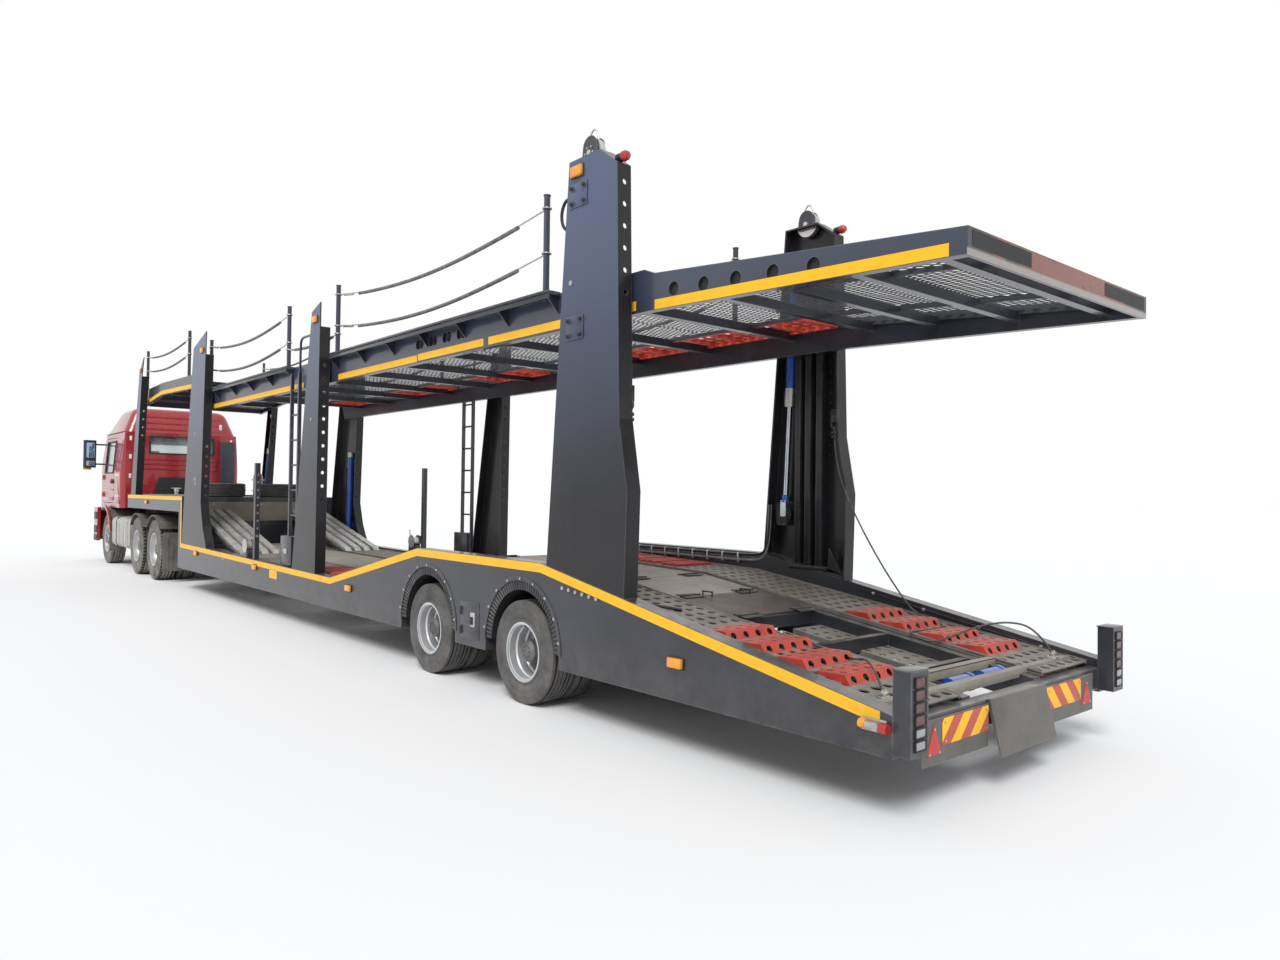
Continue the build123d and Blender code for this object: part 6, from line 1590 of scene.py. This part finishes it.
bm = bmesh.new()
for out in (1, -1):
    y0, y1 = sorted((out * 1.205, out * 1.246))
    add_arc_band(bm, FRONT_AXLE, TRACTOR_TYRE[0], y0, y1, 0.668, 0.715, radians(68), radians(168), 0)
    side_box(bm, out, (15.475, 0.98, 0.30), (15.487, 1.243, 0.70), 0.002, 1)
    side_box(bm, out, (11.007, 0.61, 0.20), (11.025, 1.243, 0.852), 0.003, 1)
    for step in range(7):
        y = out * (0.68 + 0.08 * step)
        add_box(bm, (at(11.003), y - 0.012, 0.26), (at(11.009), y + 0.012, 0.72), 0.002, 1)
    y0, y1 = sorted((out * 1.241, out * 1.248))
    for s in DRIVE_AXLES:
        add_arc_band(bm, s, TRACTOR_TYRE[0], y0, y1, 0.590, 0.612, radians(38), radians(142), 1)
piece("arch_trims", bm, [cab_paint, guard_plastic], "tractor")

bm = bmesh.new()
for out in (1, -1):
    y0, y1 = out * 1.325, out * 1.485
    add_box(bm, (at(16.846), y0, 2.265), (at(16.851), y1, 2.60), 0.012, 0)
    add_box(bm, (at(16.846), y0, 2.085), (at(16.851), y1, 2.20), 0.012, 0)
    side_box(bm, out, (16.92, 1.37, 2.005), (16.946, 1.525, 2.052), 0.008, 1)
piece("mirror_faces", bm, [mirror_glass, amber_lens], "tractor")

# Cab front: the raked screen in its black surround with two wipers, the slatted grille, the sun
# visor with marker lamps, and the bumper with steps, lower air slots and a blank plate.
SCREEN_FOOT, SCREEN_RAKE = 1.78, 0.35
bm = bmesh.new()


def screen(y, z, lift=0.003):
    """A point on the raked screen plane, a little in front of it."""
    return (at(CAB_NOSE) - SCREEN_RAKE * (z - SCREEN_FOOT) + lift, y, z)


for y0, y1, z0, z1 in ((-0.985, 0.985, 1.82, 1.875), (-0.985, 0.985, 2.695, 2.735)):
    add_plate(bm, [screen(y0, z0), screen(y1, z0), screen(y1, z1), screen(y0, z1)], (0.005, 0, 0.002), 0)
for y in (0.942, -0.982):
    add_plate(bm, [screen(y, 1.87), screen(y + 0.04, 1.87), screen(y + 0.04, 2.70), screen(y, 2.70)],
              (0.005, 0, 0.002), 0)
for y, tip in ((-0.70, -0.16), (0.02, 0.58)):
    add_bar(bm, screen(y, 1.85, 0.022), screen((y + tip) / 2, 2.10, 0.03), 0.009, 8, 0)
    add_bar(bm, screen((y + tip) / 2 - 0.30, 2.03, 0.022), screen((y + tip) / 2 + 0.32, 2.18, 0.022), 0.007,
            8, 0)
    add_bar(bm, screen(y, 1.85, -0.01), screen(y, 1.85, 0.035), 0.018, 12, 0)
visor = [screen(-0.99, 2.74, 0.01), screen(0.99, 2.74, 0.01), screen(0.97, 2.62, 0.20),
         screen(-0.97, 2.62, 0.20)]
add_plate(bm, visor, (0, 0, 0.008), 2)
for y in (-0.6, 0.0, 0.6):
    add_bar(bm, screen(y, 2.73, 0.0), screen(y, 2.66, 0.16), 0.010, 8, 0)
add_box(bm, (at(CAB_NOSE) - 0.002, -0.86, 1.255), (at(CAB_NOSE) + 0.004, 0.86, 1.745), 0.01, 0)
for step in range(5):
    z = 1.29 + 0.095 * step
    add_box(bm, (at(CAB_NOSE), -0.825, z - 0.002), (at(CAB_NOSE) + 0.044, 0.825, z + 0.047), 0.008, 0)
    add_box(bm, (at(CAB_NOSE) + 0.04, -0.80, z + 0.018), (at(CAB_NOSE) + 0.047, 0.80, z + 0.027), 0.002, 3)
for out in (1, -1):
    side_box(bm, out, (CAB_NOSE - 0.03, 0.87, 1.42), (CAB_NOSE + 0.010, 0.99, 1.52), 0.008, 4)
    for y in (0.28, 0.72):
        side_box(bm, out, (16.53, y - 0.055, 3.05), (16.62, y + 0.055, 3.10), 0.012, 4)
piece("cab_face", bm, [black_plastic, glass, intake_plastic, chrome, amber_lens], "tractor")

bm = bmesh.new()
nose = at(NOSE)
add_box(bm, (nose - 0.002, -0.62, 0.90), (nose + 0.006, 0.62, 1.12), 0.004, 0)
for step in range(3):
    z = 0.925 + 0.06 * step
    add_box(bm, (nose + 0.004, -0.60, z), (nose + 0.011, 0.60, z + 0.03), 0.003, 1)
add_box(bm, (nose - 0.002, -0.56, 0.50), (nose + 0.006, 0.56, 0.62), 0.004, 0)
add_box(bm, (nose, -0.26, 0.70), (nose + 0.005, 0.26, 0.83), 0.003, 2)
for out in (1, -1):
    add_bar(bm, (nose - 0.002, out * 0.76, 0.57), (nose + 0.008, out * 0.76, 0.57), 0.055, 24, 0)
    add_bar(bm, (nose + 0.006, out * 0.76, 0.57), (nose + 0.011, out * 0.76, 0.57), 0.044, 24, 3)
    side = out * 1.24
    for z in (0.62, 0.92):
        add_box(bm, (at(16.94), side - out * 0.002, z), (at(17.22), side + out * 0.004, z + 0.16), 0.01, 0)
        add_box(bm, (at(16.95), side - out * 0.03, z + 0.005), (at(17.21), side + out * 0.008, z + 0.028),
                0.004, 1)
        for step in range(6):
            add_bar(bm, (at(16.98 + 0.04 * step), side - out * 0.02, z + 0.03),
                    (at(16.98 + 0.04 * step), side + out * 0.006, z + 0.03), 0.005, 6, 1)
    add_box(bm, (at(16.905), side, 0.452), (at(17.26), side + out * 0.004, 0.585), 0.002, 0)
add_box(bm, (nose - 0.003, -1.01, 0.451), (nose + 0.003, 1.01, 0.49), 0.002, 0)
front_step = [(at(17.265) + 0.158 * sin(radians(15 * step)), 1.02 + 0.158 * cos(radians(15 * step)))
              for step in range(7)]
front_step = [(at(16.93), 1.178)] + front_step
front_step += [(x, -y) for x, y in reversed(front_step)]
add_plate(bm, [(x, y, 1.135) for x, y in front_step], (0, 0, 0.022), 0)
for step in range(4):
    s = 17.28 + 0.036 * step
    add_box(bm, (at(s) - 0.008, -0.98, 1.155), (at(s) + 0.008, 0.98, 1.164), 0.003, 1)
piece("bumper_fittings", bm, [black_plastic, guard_plastic, board_plate, clear_lens], "tractor")

# Deck ropes: springy steel wire ropes for tying the decks down. The right one hangs from the hook on
# the rear column, lies along the track and springs up to a clamp; the left one lies on its track.
ROPE = 0.013
wire_rope = finish_of("wire_rope", (0.115, 0.11, 0.10), 0.5, metal=0.5, contrast=0.5, spread=60, relief=0.8,
                      grain=320)
RIGHT_ROPE = ((-1.105, -1.120, 2.185), (-1.106, -1.120, 2.05), (-1.15, -1.118, 1.82), (-1.235, -1.115, 1.61),
              (-1.40, -1.11, 1.33), (-1.59, -1.10, 1.06), (-1.78, -1.08, 0.84), (-1.91, -1.05, 0.728),
              (-2.06, -1.035, 0.682), (-2.19, -1.0, 0.664), (-2.2275, -0.90, 0.658), (-2.2275, -0.74, 0.658),
              (-2.2275, -0.57, 0.664), (-2.25, -0.45, 0.674), (-2.34, -0.42, 0.640), (-2.45, -0.44, 0.628),
              (-2.566, -0.52, 0.688), (-2.646, -0.58, 0.735), (-2.74, -0.64, 0.770), (-2.83, -0.70, 0.786),
              (-2.918, -0.76, 0.772), (-2.974, -0.81, 0.715), (-3.015, -0.86, 0.64), (-3.03, -0.895, 0.585))
LEFT_ROPE = ((-1.88, 0.44, 0.700), (-1.94, 0.47, 0.712), (-2.06, 0.50, 0.695), (-2.2, 0.505, 0.668),
             (-2.34, 0.505, 0.648), (-2.46, 0.53, 0.634), (-2.583, 0.62, 0.652), (-2.67, 0.68, 0.676),
             (-2.75, 0.74, 0.672), (-2.83, 0.80, 0.635), (-2.91, 0.87, 0.590), (-2.97, 0.94, 0.567))


def add_rope(name, points):
    """A wire rope on one smooth line from its first point to where it goes back into a clamp."""
    made = smooth_line(name, [(at(s), y, z) for s, y, z in points], ROPE / 2, 3)
    made.data.materials.append(wire_rope)
    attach(made, "trailer")


add_rope("right_rope", RIGHT_ROPE)
add_rope("left_rope", LEFT_ROPE)

bm = bmesh.new()
for s, y, z in (RIGHT_ROPE[-1], LEFT_ROPE[-1]):
    spot = Vector((at(s), y, z))
    add_box(bm, *off(spot, (-0.03, -0.03, -0.045), (0.03, 0.03, -0.012)), 0.006)
    for end in (-0.016, 0.016):
        add_bar(bm, *off(spot, (-0.004, end, -0.02), (-0.004, end, 0.022)), 0.006, 8)
    add_box(bm, *off(spot, (-0.018, -0.024, -0.014), (0.012, 0.024, 0.012)), 0.005)
s, y, z = LEFT_ROPE[0]
ring = Vector((at(s), y, z))
turned(bm, ring_profile(0.032, 0.008), Matrix.Translation(ring + Vector((0.03, -0.012, -0.004))), 20)
piece("rope_clamps", bm, [bare_steel], "trailer")
